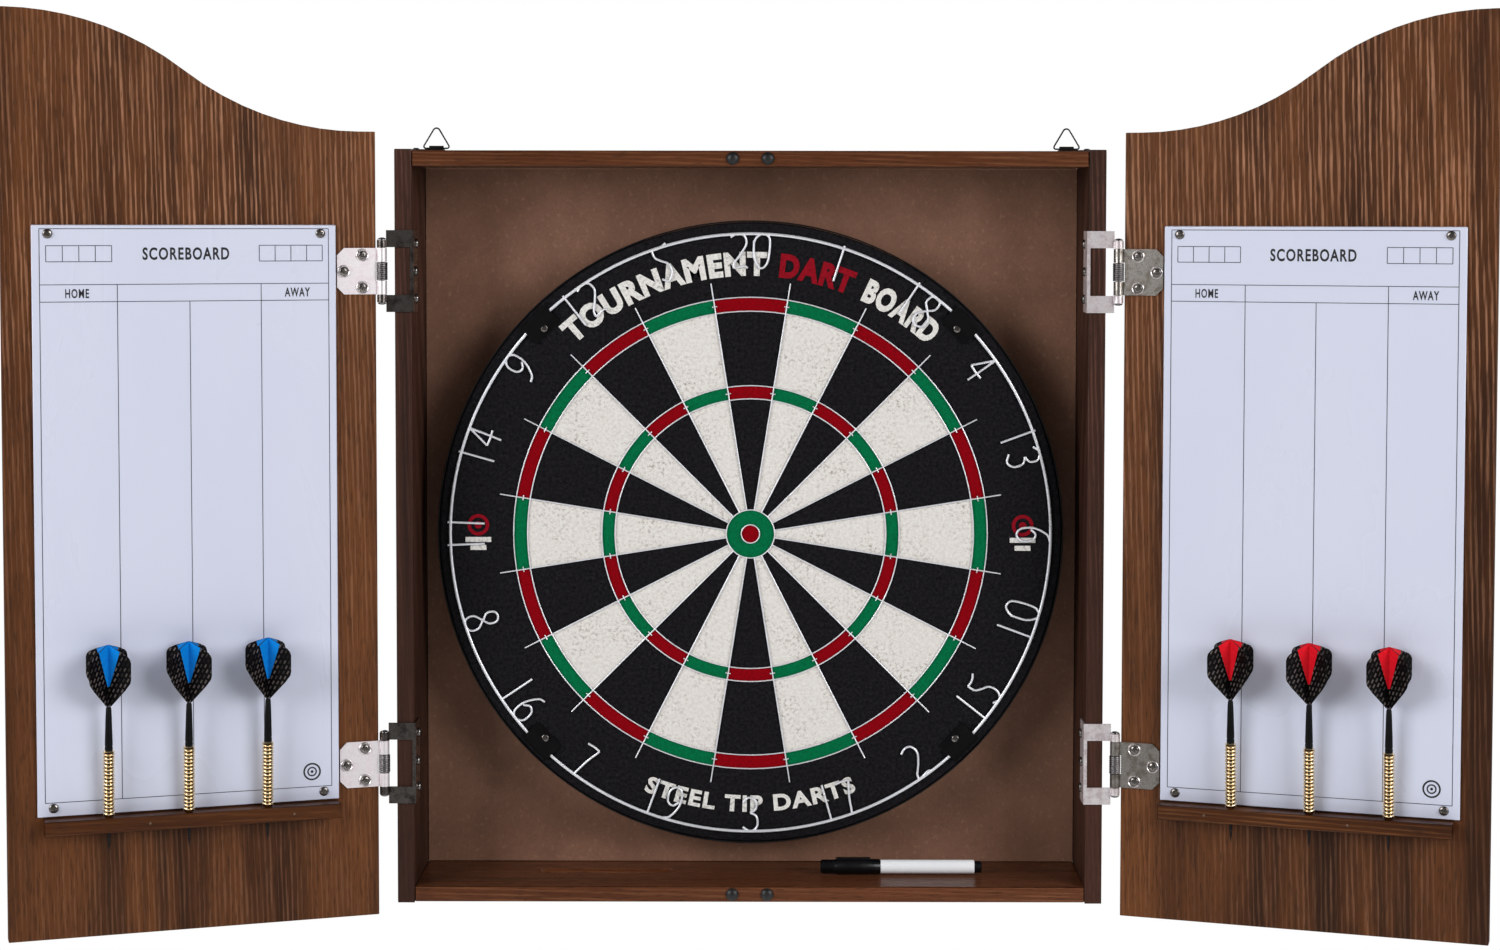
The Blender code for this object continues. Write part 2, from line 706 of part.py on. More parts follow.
def spider_corner(index, radius, hand):
    """Where a ring's edge crosses one edge of a radial wire."""
    middle = 2 * pi * (index + 0.5) / SEGMENTS
    angle = middle + hand * asin(SPIDER_WIDTH / 2 / radius)
    return Vector((radius * cos(angle), radius * sin(angle), 0))


def spider(parent, front, mats):
    """Rings and radial wires as one flat net, thickened towards the front."""
    bm = bmesh.new()
    half = SPIDER_WIDTH / 2
    radii = [r + s for r in RING_RADII for s in (-half, half)]
    radii.append(RING_RADII[-1] + SPIDER_OVERSHOOT)
    corners = {}
    for k in range(SEGMENTS):
        for j, r in enumerate(radii):
            for hand in (-1, 1):
                corners[k, j, hand] = bm.verts.new(spider_corner(k, r, hand))
    for k in range(SEGMENTS):
        for j in range(len(radii) - 1):
            keys = ((k, j, -1), (k, j + 1, -1), (k, j + 1, 1), (k, j, 1))
            bm.faces.new([corners[key] for key in keys])
    for k in range(SEGMENTS):
        following = (k + 1) % SEGMENTS
        middle = 2 * pi * (k + 1) / SEGMENTS
        for j in range(0, len(radii) - 1, 2):
            first = (corners[k, j, 1], corners[k, j + 1, 1])
            last = (corners[following, j, -1], corners[following, j + 1, -1])
            if j == 0:
                bm.faces.new((first[0], first[1], last[1], last[0]))
                continue
            bridge = [
                bm.verts.new((radii[i] * cos(middle), radii[i] * sin(middle), 0))
                for i in (j, j + 1)
            ]
            bm.faces.new((first[0], first[1], bridge[1], bridge[0]))
            bm.faces.new((bridge[0], bridge[1], last[1], last[0]))
    grown = bmesh.ops.extrude_face_region(bm, geom=list(bm.faces))
    moved = [v for v in grown["geom"] if isinstance(v, bmesh.types.BMVert)]
    bmesh.ops.translate(bm, vec=(0, 0, SPIDER_WIDTH), verts=moved)
    net = finish_mesh("spider", bm, mats["wire"])
    net.parent = parent
    net.location.z = front + GAP


def number_ring(parent, front, mats):
    profile = [
        (NUMBER_RING_R + NUMBER_WIRE_R * cos(a), NUMBER_WIRE_R * sin(a))
        for a in (-2 * pi * i / 6 for i in range(6))
    ]
    ring = turned("number_ring", profile, RING_SIDES, mats["wire"])
    ring.parent = parent
    ring.location.z = front + GAP + NUMBER_WIRE_R


def dartboard(mats):
    """The board's frame stands on the bull, with local Z towards the viewer."""
    axis = empty("dartboard_axis", (0, BOARD_BACK_Y, BULL_Z), (pi / 2, 0, 0))
    bore = SHANK_R + GAP
    board_disc("backing_board", 0, BACKING_THICKNESS, PANEL_EDGE, bore, mats["chipboard"], axis)
    sisal_back = BACKING_THICKNESS + GAP
    front = sisal_back + SISAL_THICKNESS
    board_disc("sisal_core", sisal_back, front, FACE_ROUND, 0, mats["sisal"], axis)
    inner, outer = BOARD_R - BAND_THICKNESS, BOARD_R
    profile = [(outer, front - FACE_SETBACK), (outer, 0), (inner, 0), (inner, front - FACE_SETBACK)]
    turned("rim_band", profile, BOARD_SIDES, mats["band"]).parent = axis
    spider(axis, front, mats)
    number_ring(axis, front, mats)


def centre_screw(mats):
    """Its shank drops into the bracket's slot, with the head behind the slot."""
    seat = BOARD_GAP - GAP
    profile = [
        (0, seat + SHANK_IN_BOARD - 0.001),
        (SHANK_R, seat + SHANK_IN_BOARD - 0.002),
        (SHANK_R, HEAD_HEIGHT),
        (HEAD_R, HEAD_HEIGHT),
        (HEAD_R, 0.0004),
        (HEAD_R - 0.0004, 0),
        (0, 0),
    ]
    screw = turned("centre_screw", profile, SMALL_SIDES, mats["nickel"])
    screw.location = (0, -BACK_THICKNESS - GAP, BULL_Z)
    screw.rotation_euler = (pi / 2, 0, 0)


def board_bracket(mats):
    """A hat-shaped plate: two feet on the back panel and a raised, slotted middle."""
    foot_back, foot_front = -BACK_THICKNESS - GAP, -BACK_THICKNESS - GAP - BRACKET_T
    raised_back, raised_front = foot_back - BRACKET_RISE + GAP, foot_front - BRACKET_RISE + GAP
    wide, narrow = BRACKET_HALF_WIDTH, BRACKET_RAISED_HALF
    back = [(wide, foot_back), (narrow + 0.002, foot_back), (narrow, raised_back)]
    front = [(wide, foot_front), (narrow + 0.003, foot_front), (narrow + 0.001, raised_front)]
    half = front + [(-x, y) for x, y in reversed(front)]
    outline = half + [(-x, y) for x, y in back] + list(reversed(back))
    low, high = BULL_Z - BRACKET_BELOW, BULL_Z + BRACKET_ABOVE
    bracket = prism("board_bracket", outline, low, high, "Z", mats["nickel"])
    slot = arc((0, BULL_Z), SLOT_R, 180, 360, 8)
    slot += [(SLOT_R, high + 0.005), (-SLOT_R, high + 0.005)]
    cutter = prism("bracket_slot", slot, -0.03, 0, "Y", None)
    boolean(bracket, cutter, "DIFFERENCE")
    for i, (x, z) in enumerate(BRACKET_SCREWS):
        hole = turned(f"bracket_hole_{i}", through_hole(SCREW_HOLE_R, 0.004), HOLE_SIDES, None)
        hole.location = (x, foot_back, BULL_Z + z)
        hole.rotation_euler = (pi / 2, 0, 0)
        boolean(bracket, hole, "DIFFERENCE")


# Marker


def marker(mats):
    """A felt-tip marker lying along X, its cap towards the middle of the cabinet."""
    y = FRONT_Y + MARKER_FROM_FRONT
    body_start = MARKER_X[0] + MARKER_CAP_LENGTH + GAP
    length = MARKER_X[1] - body_start
    profile = [
        (0, length),
        (MARKER_BODY_R - 0.001, length),
        (MARKER_BODY_R, length - 0.0012),
        (MARKER_BODY_R, 0),
        (MARKER_NECK_R, 0),
        (MARKER_NECK_R, -MARKER_NECK_LENGTH),
        (MARKER_NIB_R, -MARKER_NECK_LENGTH - 0.002),
        (MARKER_NIB_R, -MARKER_NECK_LENGTH - MARKER_NIB_LENGTH + 0.001),
        (0, -MARKER_NECK_LENGTH - MARKER_NIB_LENGTH),
    ]
    body = turned("marker_body", profile, SMALL_SIDES + 4, mats["marker"])
    body.location = (body_start, y, SHELF_TOP + MARKER_CAP_R + GAP)
    body.rotation_euler = (0, pi / 2, 0)
    cap_profile = [
        (0, 0),
        (MARKER_CAP_R - 0.0012, 0),
        (MARKER_CAP_R, 0.0015),
        (MARKER_CAP_R, MARKER_CAP_LENGTH),
        (MARKER_CAP_BORE_R, MARKER_CAP_LENGTH),
        (MARKER_CAP_BORE_R, MARKER_CAP_END),
        (0, MARKER_CAP_END),
    ]
    cap = turned("marker_cap", list(reversed(cap_profile)), SMALL_SIDES + 4, mats["marker_cap"])
    cap.location = (MARKER_X[0], y, SHELF_TOP + MARKER_CAP_R + GAP)
    cap.rotation_euler = (0, pi / 2, 0)
    low = (0.0115, -0.0016, MARKER_CAP_R - 0.0006)
    high = (0.0360, 0.0016, MARKER_CAP_R + 0.0012)
    clip = box("marker_clip", low, high, None)
    clip.location += Vector((MARKER_X[0], y, SHELF_TOP + MARKER_CAP_R + GAP))
    boolean(cap, clip, "UNION")


def main():
    clear_scene()
    mats = make_materials()
    cabinet_box(mats)
    bumpers(mats)
    hangers(mats)
    doors(mats)
    board_bracket(mats)
    centre_screw(mats)
    dartboard(mats)
    marker(mats)


main()
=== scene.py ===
"""Looks for the wall cabinet with its bristle dartboard: camera, studio, materials and fine pieces.

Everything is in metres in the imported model's frame: +Z up, the player at -Y, the wall at Y = 0.
Each door's pieces are made in the frame of its hinge axis, and each dart's in the dart's own frame.
"""

import json
from math import atan2, cos, pi, radians, sin
from random import Random

import bmesh
import bpy
from mathutils import Matrix, Vector, noise

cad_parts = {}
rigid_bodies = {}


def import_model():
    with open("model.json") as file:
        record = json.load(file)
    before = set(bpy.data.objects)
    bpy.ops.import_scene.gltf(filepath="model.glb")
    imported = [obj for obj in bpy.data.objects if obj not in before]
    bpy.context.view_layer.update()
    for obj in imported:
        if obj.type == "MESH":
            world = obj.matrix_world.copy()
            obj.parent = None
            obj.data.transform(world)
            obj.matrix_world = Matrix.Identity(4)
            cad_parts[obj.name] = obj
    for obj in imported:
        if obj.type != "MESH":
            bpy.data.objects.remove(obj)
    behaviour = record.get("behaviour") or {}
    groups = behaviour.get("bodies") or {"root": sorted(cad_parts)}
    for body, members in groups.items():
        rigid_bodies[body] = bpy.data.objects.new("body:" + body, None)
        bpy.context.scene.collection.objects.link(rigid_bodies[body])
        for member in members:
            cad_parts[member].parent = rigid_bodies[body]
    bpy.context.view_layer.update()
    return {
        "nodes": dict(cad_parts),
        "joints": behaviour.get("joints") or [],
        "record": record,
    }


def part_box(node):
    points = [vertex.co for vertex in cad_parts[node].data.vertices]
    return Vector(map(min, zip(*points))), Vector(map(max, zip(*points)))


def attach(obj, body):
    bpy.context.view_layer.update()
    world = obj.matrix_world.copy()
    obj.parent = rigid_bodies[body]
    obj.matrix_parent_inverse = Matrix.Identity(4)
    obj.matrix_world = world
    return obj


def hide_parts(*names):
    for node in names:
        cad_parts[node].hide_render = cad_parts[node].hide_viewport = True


for startup in list(bpy.data.objects):
    bpy.data.objects.remove(startup, do_unlink=True)
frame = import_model()

SEED = 17
GAP = 0.0003  # between pieces that touch
SLOT_OF = {part["node"]: part["material_slot"] for part in frame["record"]["subparts"]}
JOINTS = {joint["name"]: joint for joint in frame["joints"]}
SIDES = {"left": 1, "right": -1}  # a door's free edge lies towards this X in its hinge's frame


# Frames and objects


def linked(name, data):
    """A new object in the scene."""
    obj = bpy.data.objects.new(name, data)
    bpy.context.scene.collection.objects.link(obj)
    return obj


def door_frame(name):
    """The hinge axis, turned so that the door lies along X and its inner face looks to +Y."""
    swing = JOINTS[f"{name}_door_swing"]
    turn = -radians(swing["range_deg"][1]) * swing["axis"][2]
    return Matrix.Translation(swing["pos_m"]) @ Matrix.Rotation(turn, 4, "Z")


def local_box(node, matrix):
    """Lowest and highest corner of a CAD node in another frame."""
    inverse = matrix.inverted()
    points = [inverse @ v.co for v in frame["nodes"][node].data.vertices]
    low = Vector([min(p[i] for p in points) for i in range(3)])
    high = Vector([max(p[i] for p in points) for i in range(3)])
    return low, high


def facing(origin, normal, up=(0, 0, 1)):
    """A frame at a point of a surface: Z along its normal, Y as near to `up` as it can be."""
    z = Vector(normal).normalized()
    x = Vector(up).cross(z).normalized()
    rotation = Matrix((x, z.cross(x), z)).transposed()
    return Matrix.Translation(origin) @ rotation.to_4x4()


DOORS = {name: door_frame(name) for name in SIDES}
FRONT_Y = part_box("top_panel")[0].y
HALF_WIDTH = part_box("right_side_panel")[1].x
BULL_Z = JOINTS["board_turn"]["pos_m"][2]
FACE_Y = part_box("sisal_core")[0].y
BOARD = facing((0, FACE_Y, BULL_Z), (0, -1, 0))


# Camera


CAMERA_DISTANCE = 1.95  # in front of the cabinet's front
CAMERA_X = 0.0198
CAMERA_Z = 0.2216
CAMERA_PITCH = radians(2.8)
CAMERA_YAW = radians(0.081)
CAMERA_ROLL = radians(0.084)
CAMERA_LENS = 66.5
CAMERA_SHIFT = (-0.0162, -0.083)


def camera():
    data = bpy.data.cameras.new("camera")
    data.lens = CAMERA_LENS
    data.shift_x, data.shift_y = CAMERA_SHIFT
    data.clip_start = 0.05
    obj = linked("camera", data)
    obj.location = (CAMERA_X, FRONT_Y - CAMERA_DISTANCE, CAMERA_Z)
    turn = Matrix.Rotation(CAMERA_YAW, 4, "Z") @ Matrix.Rotation(pi / 2 - CAMERA_PITCH, 4, "X")
    obj.rotation_euler = (turn @ Matrix.Rotation(CAMERA_ROLL, 4, "Z")).to_euler()
    bpy.context.scene.camera = obj


camera()


# Shader nodes


def rgb(red, green, blue):
    """A display colour from 0 to 255 as the linear colour that a shader takes."""
    parts = [c / 255 for c in (red, green, blue)]
    return (*[c / 12.92 if c <= 0.04045 else ((c + 0.055) / 1.055) ** 2.4 for c in parts], 1)


class Shader:
    """A Principled material with short names for the nodes that feed it."""

    def __init__(self, name, coordinates="Object", **settings):
        self.material = bpy.data.materials.new(name)
        self.material.use_nodes = True
        self.tree = self.material.node_tree
        self.bsdf = self.tree.nodes["Principled BSDF"]
        self.point = self.node("TexCoord", output=coordinates)
        for key, value in settings.items():
            self.bsdf.inputs[key.replace("_", " ")].default_value = value

    def node(self, kind, inputs=None, output=0, **settings):
        made = self.tree.nodes.new("ShaderNode" + kind)
        for key, value in settings.items():
            setattr(made, key, value)
        for key, value in (inputs or {}).items():
            self.feed(made.inputs[key], value)
        return made.outputs[output]

    def feed(self, socket, value):
        if isinstance(value, bpy.types.NodeSocket):
            self.tree.links.new(value, socket)
        else:
            socket.default_value = value

    def mapped(self, scale, rotation=(0, 0, 0), vector=None):
        settings = {"Vector": vector or self.point, "Scale": scale, "Rotation": rotation}
        return self.node("Mapping", settings)

    def noise(self, vector, detail=3.0, roughness=0.5, distortion=0.0):
        settings = {"Vector": vector, "Scale": 1.0, "Detail": detail}
        settings.update({"Roughness": roughness, "Distortion": distortion})
        return self.node("TexNoise", settings)

    def spread(self, value, low, high, out_low=0.0, out_high=1.0):
        """Maps low..high of a value to out_low..out_high, and clamps it."""
        settings = {"Value": value, "From Min": low, "From Max": high}
        settings.update({"To Min": out_low, "To Max": out_high})
        return self.node("MapRange", settings)

    def math(self, operation, first, second=0.0):
        return self.node("Math", {0: first, 1: second}, operation=operation)

    def mix(self, factor, first, second):
        return self.node("Mix", {0: factor, 6: first, 7: second}, output=2, data_type="RGBA")

    def bump(self, height, distance, strength=1.0):
        settings = {"Height": height, "Distance": distance, "Strength": strength}
        return self.node("Bump", settings)

    def finish(self, **links):
        for key, value in links.items():
            self.feed(self.bsdf.inputs[key.replace("_", " ")], value)
        return self.material


# Materials


DEPTH_SHARE = 0.12  # keeps the lines equally wide on both doors, whichever way a door is turned
PAINTED_SHADE_FOOT, PAINTED_LIGHT_TOP = -0.10, 0.22  # heights where a door's lines, and a side panel's, are faintest and strongest: painted shade towards the foot, painted light towards the top


def walnut(name, grain, dark=(52, 25, 7), middle=(104, 60, 29), light=(172, 122, 92),
           gloss=0.46, figure=0.92):
    """Walnut foil: broad bands, close light lines and short pores, all along the axes in `grain`."""
    shader = Shader(name, Specular_IOR_Level=0.18)

    def along(across, stretch):
        return [across / stretch if letter in grain else across for letter in "XYZ"]

    wander = shader.noise(shader.mapped(along(70, 7)), detail=3)
    drift = shader.node("VectorMath", {0: [0.0025] * 3, "Scale": wander}, operation="SCALE")
    moved = shader.node("VectorMath", {0: shader.point, 1: drift}, operation="ADD")
    broad = shader.noise(shader.mapped(along(17, 9), vector=moved), detail=4, roughness=0.62)
    band = shader.noise(shader.mapped(along(60, 40), vector=moved), detail=2)
    streak = shader.noise(shader.mapped(along(430, 30), vector=moved), detail=3, roughness=0.7)
    pores = shader.noise(shader.mapped(along(1000, 14)), detail=2, roughness=0.6)
    wave = along(180, 34)
    if "Z" in grain:
        wave[1] *= DEPTH_SHARE
    settings = {"Vector": shader.mapped(wave, vector=moved), "Scale": 1.0, "Distortion": 4.0}
    settings.update({"Detail": 2.0, "Detail Scale": 0.8, "Detail Roughness": 0.6})
    rings = shader.node("TexWave", settings, output="Fac", bands_direction="DIAGONAL")
    veins = shader.math("ADD", shader.math("MULTIPLY", rings, 0.34), streak)
    area = shader.noise(shader.mapped(along(11, 3)), detail=2)
    strength = shader.spread(area, 0.36, 0.62, 0.35, 1.0)
    # painted light and shade: the light lines fade downward, so doors and side panels are lighter at the top
    # and darker at the foot
    if grain == "Z":
        height = shader.node("SeparateXYZ", {0: shader.point}, output="Z")
        share = shader.spread(height, PAINTED_SHADE_FOOT, PAINTED_LIGHT_TOP, 0.25, 1.0)
        strength = shader.math("MULTIPLY", strength, share)
    lines = shader.math("MULTIPLY", shader.spread(veins, 0.68, 0.94, 0.0, figure), strength)
    ticks = shader.spread(pores, 0.52, 0.66, 0.0, 0.5)
    color = shader.mix(shader.spread(broad, 0.36, 0.62), rgb(*dark), rgb(*middle))
    color = shader.mix(shader.spread(band, 0.56, 0.70, 0.0, 0.7), color, rgb(*[c * 0.75 for c in dark]))
    color = shader.mix(lines, color, rgb(*light))
    color = shader.mix(ticks, color, rgb(*[c * 0.7 for c in dark]))
    roughness = shader.spread(pores, 0.3, 0.7, gloss - 0.05, gloss + 0.12)
    normal = shader.bump(shader.math("SUBTRACT", veins, ticks), 0.00008, 0.5)
    return shader.finish(Base_Color=color, Roughness=roughness, Normal=normal)


def finish(name, first, second, scale, roughness, metallic=0.0, bump=0.00004, **settings):
    """A plain material with fine grain and slow variation: paint, plastic, rubber, plated metal."""
    shader = Shader(name, Metallic=metallic, **settings)
    grain = shader.noise(shader.mapped([scale] * 3), detail=4, roughness=0.6)
    slow = shader.noise(shader.mapped([scale * 0.06 + 4] * 3), detail=2)
    blend = shader.spread(shader.mix(0.5, grain, slow), 0.36, 0.64)
    rough = shader.spread(slow, 0.35, 0.65, roughness * 0.7, roughness * 1.3)
    normal = shader.bump(grain, bump, 0.6)
    color = shader.mix(blend, rgb(*first), rgb(*second))
    return shader.finish(Base_Color=color, Roughness=rough, Normal=normal)


def fibreboard():
    shader = Shader("fibreboard")
    fibres = shader.noise(shader.mapped([900, 900, 620]), detail=4, roughness=0.7)
    clouds = shader.noise(shader.mapped([26] * 3), detail=4, roughness=0.6)
    flecks = shader.spread(shader.noise(shader.mapped([310, 310, 260]), detail=2), 0.60, 0.72)
    color = shader.mix(shader.spread(clouds, 0.3, 0.7), rgb(124, 86, 66), rgb(146, 104, 82))
    color = shader.mix(shader.spread(fibres, 0.35, 0.7, 0.0, 0.5), color, rgb(104, 70, 52))
    color = shader.mix(shader.math("MULTIPLY", flecks, 0.3), color, rgb(172, 132, 106))
    return shader.finish(Base_Color=color, Roughness=0.72, Normal=shader.bump(fibres, 0.0002, 0.5))


def chipboard():
    shader = Shader("chipboard")
    chips = shader.node("TexVoronoi", {"Vector": shader.mapped([160, 420, 260])}, output="Color")
    tone = shader.node("SeparateColor", {0: chips})
    color = shader.mix(tone, rgb(150, 118, 82), rgb(196, 164, 120))
    return shader.finish(Base_Color=color, Roughness=0.85, Normal=shader.bump(tone, 0.0003))


def cut_sisal(name, first, second, stain, stain_share):
    """Cut bristle ends: fine grain, clumps, and darker or lighter specks from use."""
    shader = Shader(name, Specular_IOR_Level=0.06)
    bristles = shader.noise(shader.mapped([1300] * 3), detail=3, roughness=0.75)
    clumps = shader.noise(shader.mapped([420] * 3), detail=4, roughness=0.7)
    wear = shader.noise(shader.mapped([34] * 3), detail=4, roughness=0.65)
    color = shader.mix(shader.spread(clumps, 0.32, 0.68), rgb(*first), rgb(*second))
    marks = shader.math("MULTIPLY", shader.spread(clumps, 0.52, 0.68), shader.spread(wear, 0.44, 0.66))
    color = shader.mix(shader.math("MULTIPLY", marks, stain_share), color, rgb(*stain))
    fine = shader.spread(bristles, 0.54, 0.72, 0.0, 0.42 * stain_share + 0.06)
    color = shader.mix(fine, color, rgb(*stain))
    height = shader.math("ADD", bristles, clumps)
    return shader.finish(Base_Color=color, Roughness=0.86, Normal=shader.bump(height, 0.00035, 0.7))


def laminate():
    """The scoreboards' white dry-wipe film, with faint wiped smudges."""
    shader = Shader("white_laminate", Coat_Weight=0.35, Coat_Roughness=0.12)
    wiped = shader.noise(shader.mapped([14, 14, 5], rotation=(0, 0.5, 0)), detail=4, distortion=0.8)
    fine = shader.noise(shader.mapped([800] * 3), detail=2)
    color = shader.mix(shader.spread(wiped, 0.3, 0.72), rgb(216, 220, 238), rgb(211, 215, 234))
    rough = shader.spread(wiped, 0.3, 0.7, 0.24, 0.36)
    return shader.finish(Base_Color=color, Roughness=rough, Normal=shader.bump(fine, 0.00001, 0.4))


def weave():
    """Twill film on the flights: slanted dashes over black, laid out on the wing's own plane."""
    shader = Shader("black_weave", coordinates="UV", Specular_IOR_Level=0.12)
    turned = shader.mapped([1, 1, 1], rotation=(0, 0, radians(-58)))
    settings = {"Vector": turned, "Scale": 1.0, "Brick Width": 0.0046, "Row Height": 0.0030}
    settings.update({"Mortar Size": 0.0011, "Mortar Smooth": 0.3, "Bias": 0.0})
    settings.update({"Color1": rgb(12, 10, 12), "Color2": rgb(108, 98, 95), "Mortar": rgb(4, 3, 4)})
    bricks = shader.node("TexBrick", settings)
    dashes = shader.node("TexBrick", settings, output="Fac")
    return shader.finish(Base_Color=bricks, Roughness=0.40, Normal=shader.bump(dashes, -0.00006, 0.6))


def brushed(name, first, second, roughness, metallic=1.0):
    """Plated sheet with fine drawn lines and a few dull patches."""
    shader = Shader(name, Metallic=metallic)
    lines = shader.noise(shader.mapped([900, 900, 40]), detail=2)
    patch = shader.noise(shader.mapped([150] * 3), detail=4, roughness=0.65)
    color = shader.mix(shader.spread(patch, 0.36, 0.62), rgb(*first), rgb(*second))
    rough = shader.spread(patch, 0.3, 0.7, roughness * 0.75, roughness * 1.35)
    return shader.finish(Base_Color=color, Roughness=rough, Normal=shader.bump(lines, 0.00001, 0.5))


BARREL_R, BARREL_LENGTH, BARREL_RINGS, BARREL_SIDES = 0.0041, 0.0470, 17, 40
RING_START, RING_PITCH = 0.0018, (BARREL_LENGTH - 0.0030) / BARREL_RINGS


def ringed_brass():
    """Polished brass, with painted shade at the bottom of each turned groove of the barrel."""
    shader = Shader("brass", Metallic=1.0)
    height = shader.node("SeparateXYZ", {0: shader.point}, output="Z")
    turn = shader.math("DIVIDE", shader.math("SUBTRACT", height, RING_START), RING_PITCH)
    off_crest = shader.math("ABSOLUTE", shader.math("SUBTRACT", shader.math("FRACT", turn), 0.5))
    groove = shader.spread(off_crest, 0.24, 0.44)
    tarnish = shader.noise(shader.mapped([260] * 3), detail=3)
    color = shader.mix(shader.spread(tarnish, 0.35, 0.65), rgb(255, 236, 196), rgb(236, 206, 158))
    # painted shade: the bottom of each groove is mixed towards dark brown
    color = shader.mix(groove, color, rgb(92, 62, 30))
    rough = shader.spread(tarnish, 0.3, 0.7, 0.14, 0.24)
    normal = shader.bump(tarnish, 0.000004, 0.5)
    return shader.finish(Base_Color=color, Roughness=rough, Normal=normal)


MATERIALS = {
    "door": walnut("walnut_door", "Z"),
    "side": walnut("walnut_side", "Z", (42, 21, 13), (64, 37, 27), (104, 70, 58), 0.50, 0.7),
    "shelf": walnut("walnut_shelf", "X", (60, 29, 12), (100, 57, 35), (138, 92, 62), 0.30, 0.5),
    "rack": walnut("walnut_rack", "XY", (54, 25, 8), (84, 45, 17), (128, 82, 46), 0.36, 0.6),
    "fibreboard": fibreboard(),
    "chipboard": chipboard(),
    "sisal_black": cut_sisal("sisal_black", (8, 8, 10), (32, 30, 33), (46, 44, 47), 0.22),
    "sisal_cream": cut_sisal("sisal_cream", (232, 229, 225), (212, 206, 200), (124, 106, 92), 0.85),
    "sisal_red": cut_sisal("sisal_red", (142, 0, 14), (122, 0, 10), (84, 4, 8), 0.4),
    "sisal_green": cut_sisal("sisal_green", (0, 112, 68), (0, 94, 56), (4, 62, 40), 0.4),
    "print_white": cut_sisal("print_white", (236, 234, 230), (208, 204, 199), (84, 78, 74), 0.9),
    "print_red": cut_sisal("print_red", (150, 16, 32), (124, 12, 26), (60, 16, 20), 0.6),
    "laminate": laminate(),
    "weave": weave(),
    "nickel": brushed("nickel", (255, 248, 250), (196, 184, 186), 0.42, metallic=0.75),
    "leaf": brushed("leaf_nickel", (206, 200, 194), (128, 120, 112), 0.30),
    # copies of the leaf plating: this darker one is painted shade, and the next, paler one is a painted
    # reflection
    "dark_leaf": brushed("dark_leaf_nickel", (150, 142, 138), (70, 64, 62), 0.26),
    "pale_leaf": brushed("pale_leaf_nickel", (255, 250, 252), (234, 224, 228), 0.40, metallic=0.6),
    "cup": finish("cup_nickel", (255, 250, 250), (226, 220, 222), 700, 0.34, 1.0),
    "loop": finish("loop_wire", (74, 70, 68), (44, 42, 40), 500, 0.35, 1.0),
    "spring": finish("spring_steel", (150, 146, 148), (104, 100, 102), 500, 0.30, 1.0),
    "screw": finish("screw_plate", (150, 144, 140), (84, 80, 78), 700, 0.30, 1.0),
    "nail": finish("nail_head", (120, 96, 80), (84, 66, 54), 900, 0.5, 0.6),
    "wire": finish("ring_wire", (250, 251, 255), (222, 224, 232), 700, 0.36, 0.5),
    "brass": ringed_brass(),
    "point": finish("point_steel", (52, 50, 50), (30, 29, 30), 600, 0.35, 1.0),
    "rubber": finish("black_rubber", (10, 10, 11), (18, 18, 19), 900, 0.55, bump=0.0001),
    "band": finish("rim_band", (13, 12, 14), (20, 19, 21), 420, 0.6, bump=0.0001, Specular_IOR_Level=0.2),
    "clip": finish("clip_plastic", (7, 7, 8), (12, 11, 13), 500, 0.7, Specular_IOR_Level=0.08),
    "nylon": finish("nylon", (4, 4, 6), (8, 8, 10), 700, 0.42, Specular_IOR_Level=0.15),
    "blue": finish("flight_blue", (2, 138, 226), (0, 124, 212), 300, 0.34, Coat_Weight=0.2),
    "red": finish("flight_red", (232, 26, 44), (212, 16, 34), 300, 0.30, Coat_Weight=0.3),
    "ink": finish("board_ink", (40, 40, 50), (62, 62, 74), 1200, 0.5),
    "bold_ink": finish("bold_ink", (14, 14, 18), (26, 26, 32), 1200, 0.5),
    "pen_white": finish("pen_white", (253, 254, 255), (246, 248, 255), 300, 0.26, Coat_Weight=0.4),
    "pen_black": finish("pen_black", (6, 6, 9), (11, 11, 14), 500, 0.34, Specular_IOR_Level=0.35),
}


# Meshes


def keep(name, mesh, material, body, slot, matrix=None, replaced=()):
    """Makes the object, puts it in its place, ties it to its body and hides the CAD nodes that it replaces.
    Its slot is not used.
    """
    obj = linked(name, mesh)
    if material and not len(mesh.materials):
        mesh.materials.append(MATERIALS[material])
    obj.matrix_world = matrix or Matrix.Identity(4)
    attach(obj, body)
    if replaced:
        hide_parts(*replaced)
    return obj


def made_mesh(name, bm, smooth=40):
    """The bmesh as a mesh with outward faces, smooth across edges flatter than `smooth` degrees."""
    bmesh.ops.recalc_face_normals(bm, faces=bm.faces)
    mesh = bpy.data.meshes.new(name)
    bm.to_mesh(mesh)
    bm.free()
    if smooth:
        mesh.shade_smooth()
        mesh.set_sharp_from_angle(angle=radians(smooth))
    return mesh


def baked(obj):
    """The object's mesh with its modifiers applied. The object itself goes."""
    graph = bpy.context.evaluated_depsgraph_get()
    mesh = bpy.data.meshes.new_from_object(obj.evaluated_get(graph))
    bpy.data.objects.remove(obj)
    return mesh


def circle(radius, height, points=120):
    """Points round a circle in the XY plane."""
    angles = [2 * pi * i / points for i in range(points)]
    return [(radius * cos(a), radius * sin(a), height) for a in angles]


def lathe(name, profile, segments=48, smooth=40):
    """A solid turned about Z from (radius, height) points, from one end of the axis to the other,
    or a ring when the profile stays off the axis."""
    bm = bmesh.new()
    rows = []
    for radius, height in profile:
        points = circle(radius, height, segments) if radius else [(0, 0, height)]
        rows.append([bm.verts.new(point) for point in points])
    if profile[0][0] > 0:
        rows.append(rows[0])
    for first, second in zip(rows, rows[1:]):
        join_rows(bm, first, second)
    return made_mesh(name, bm, smooth)


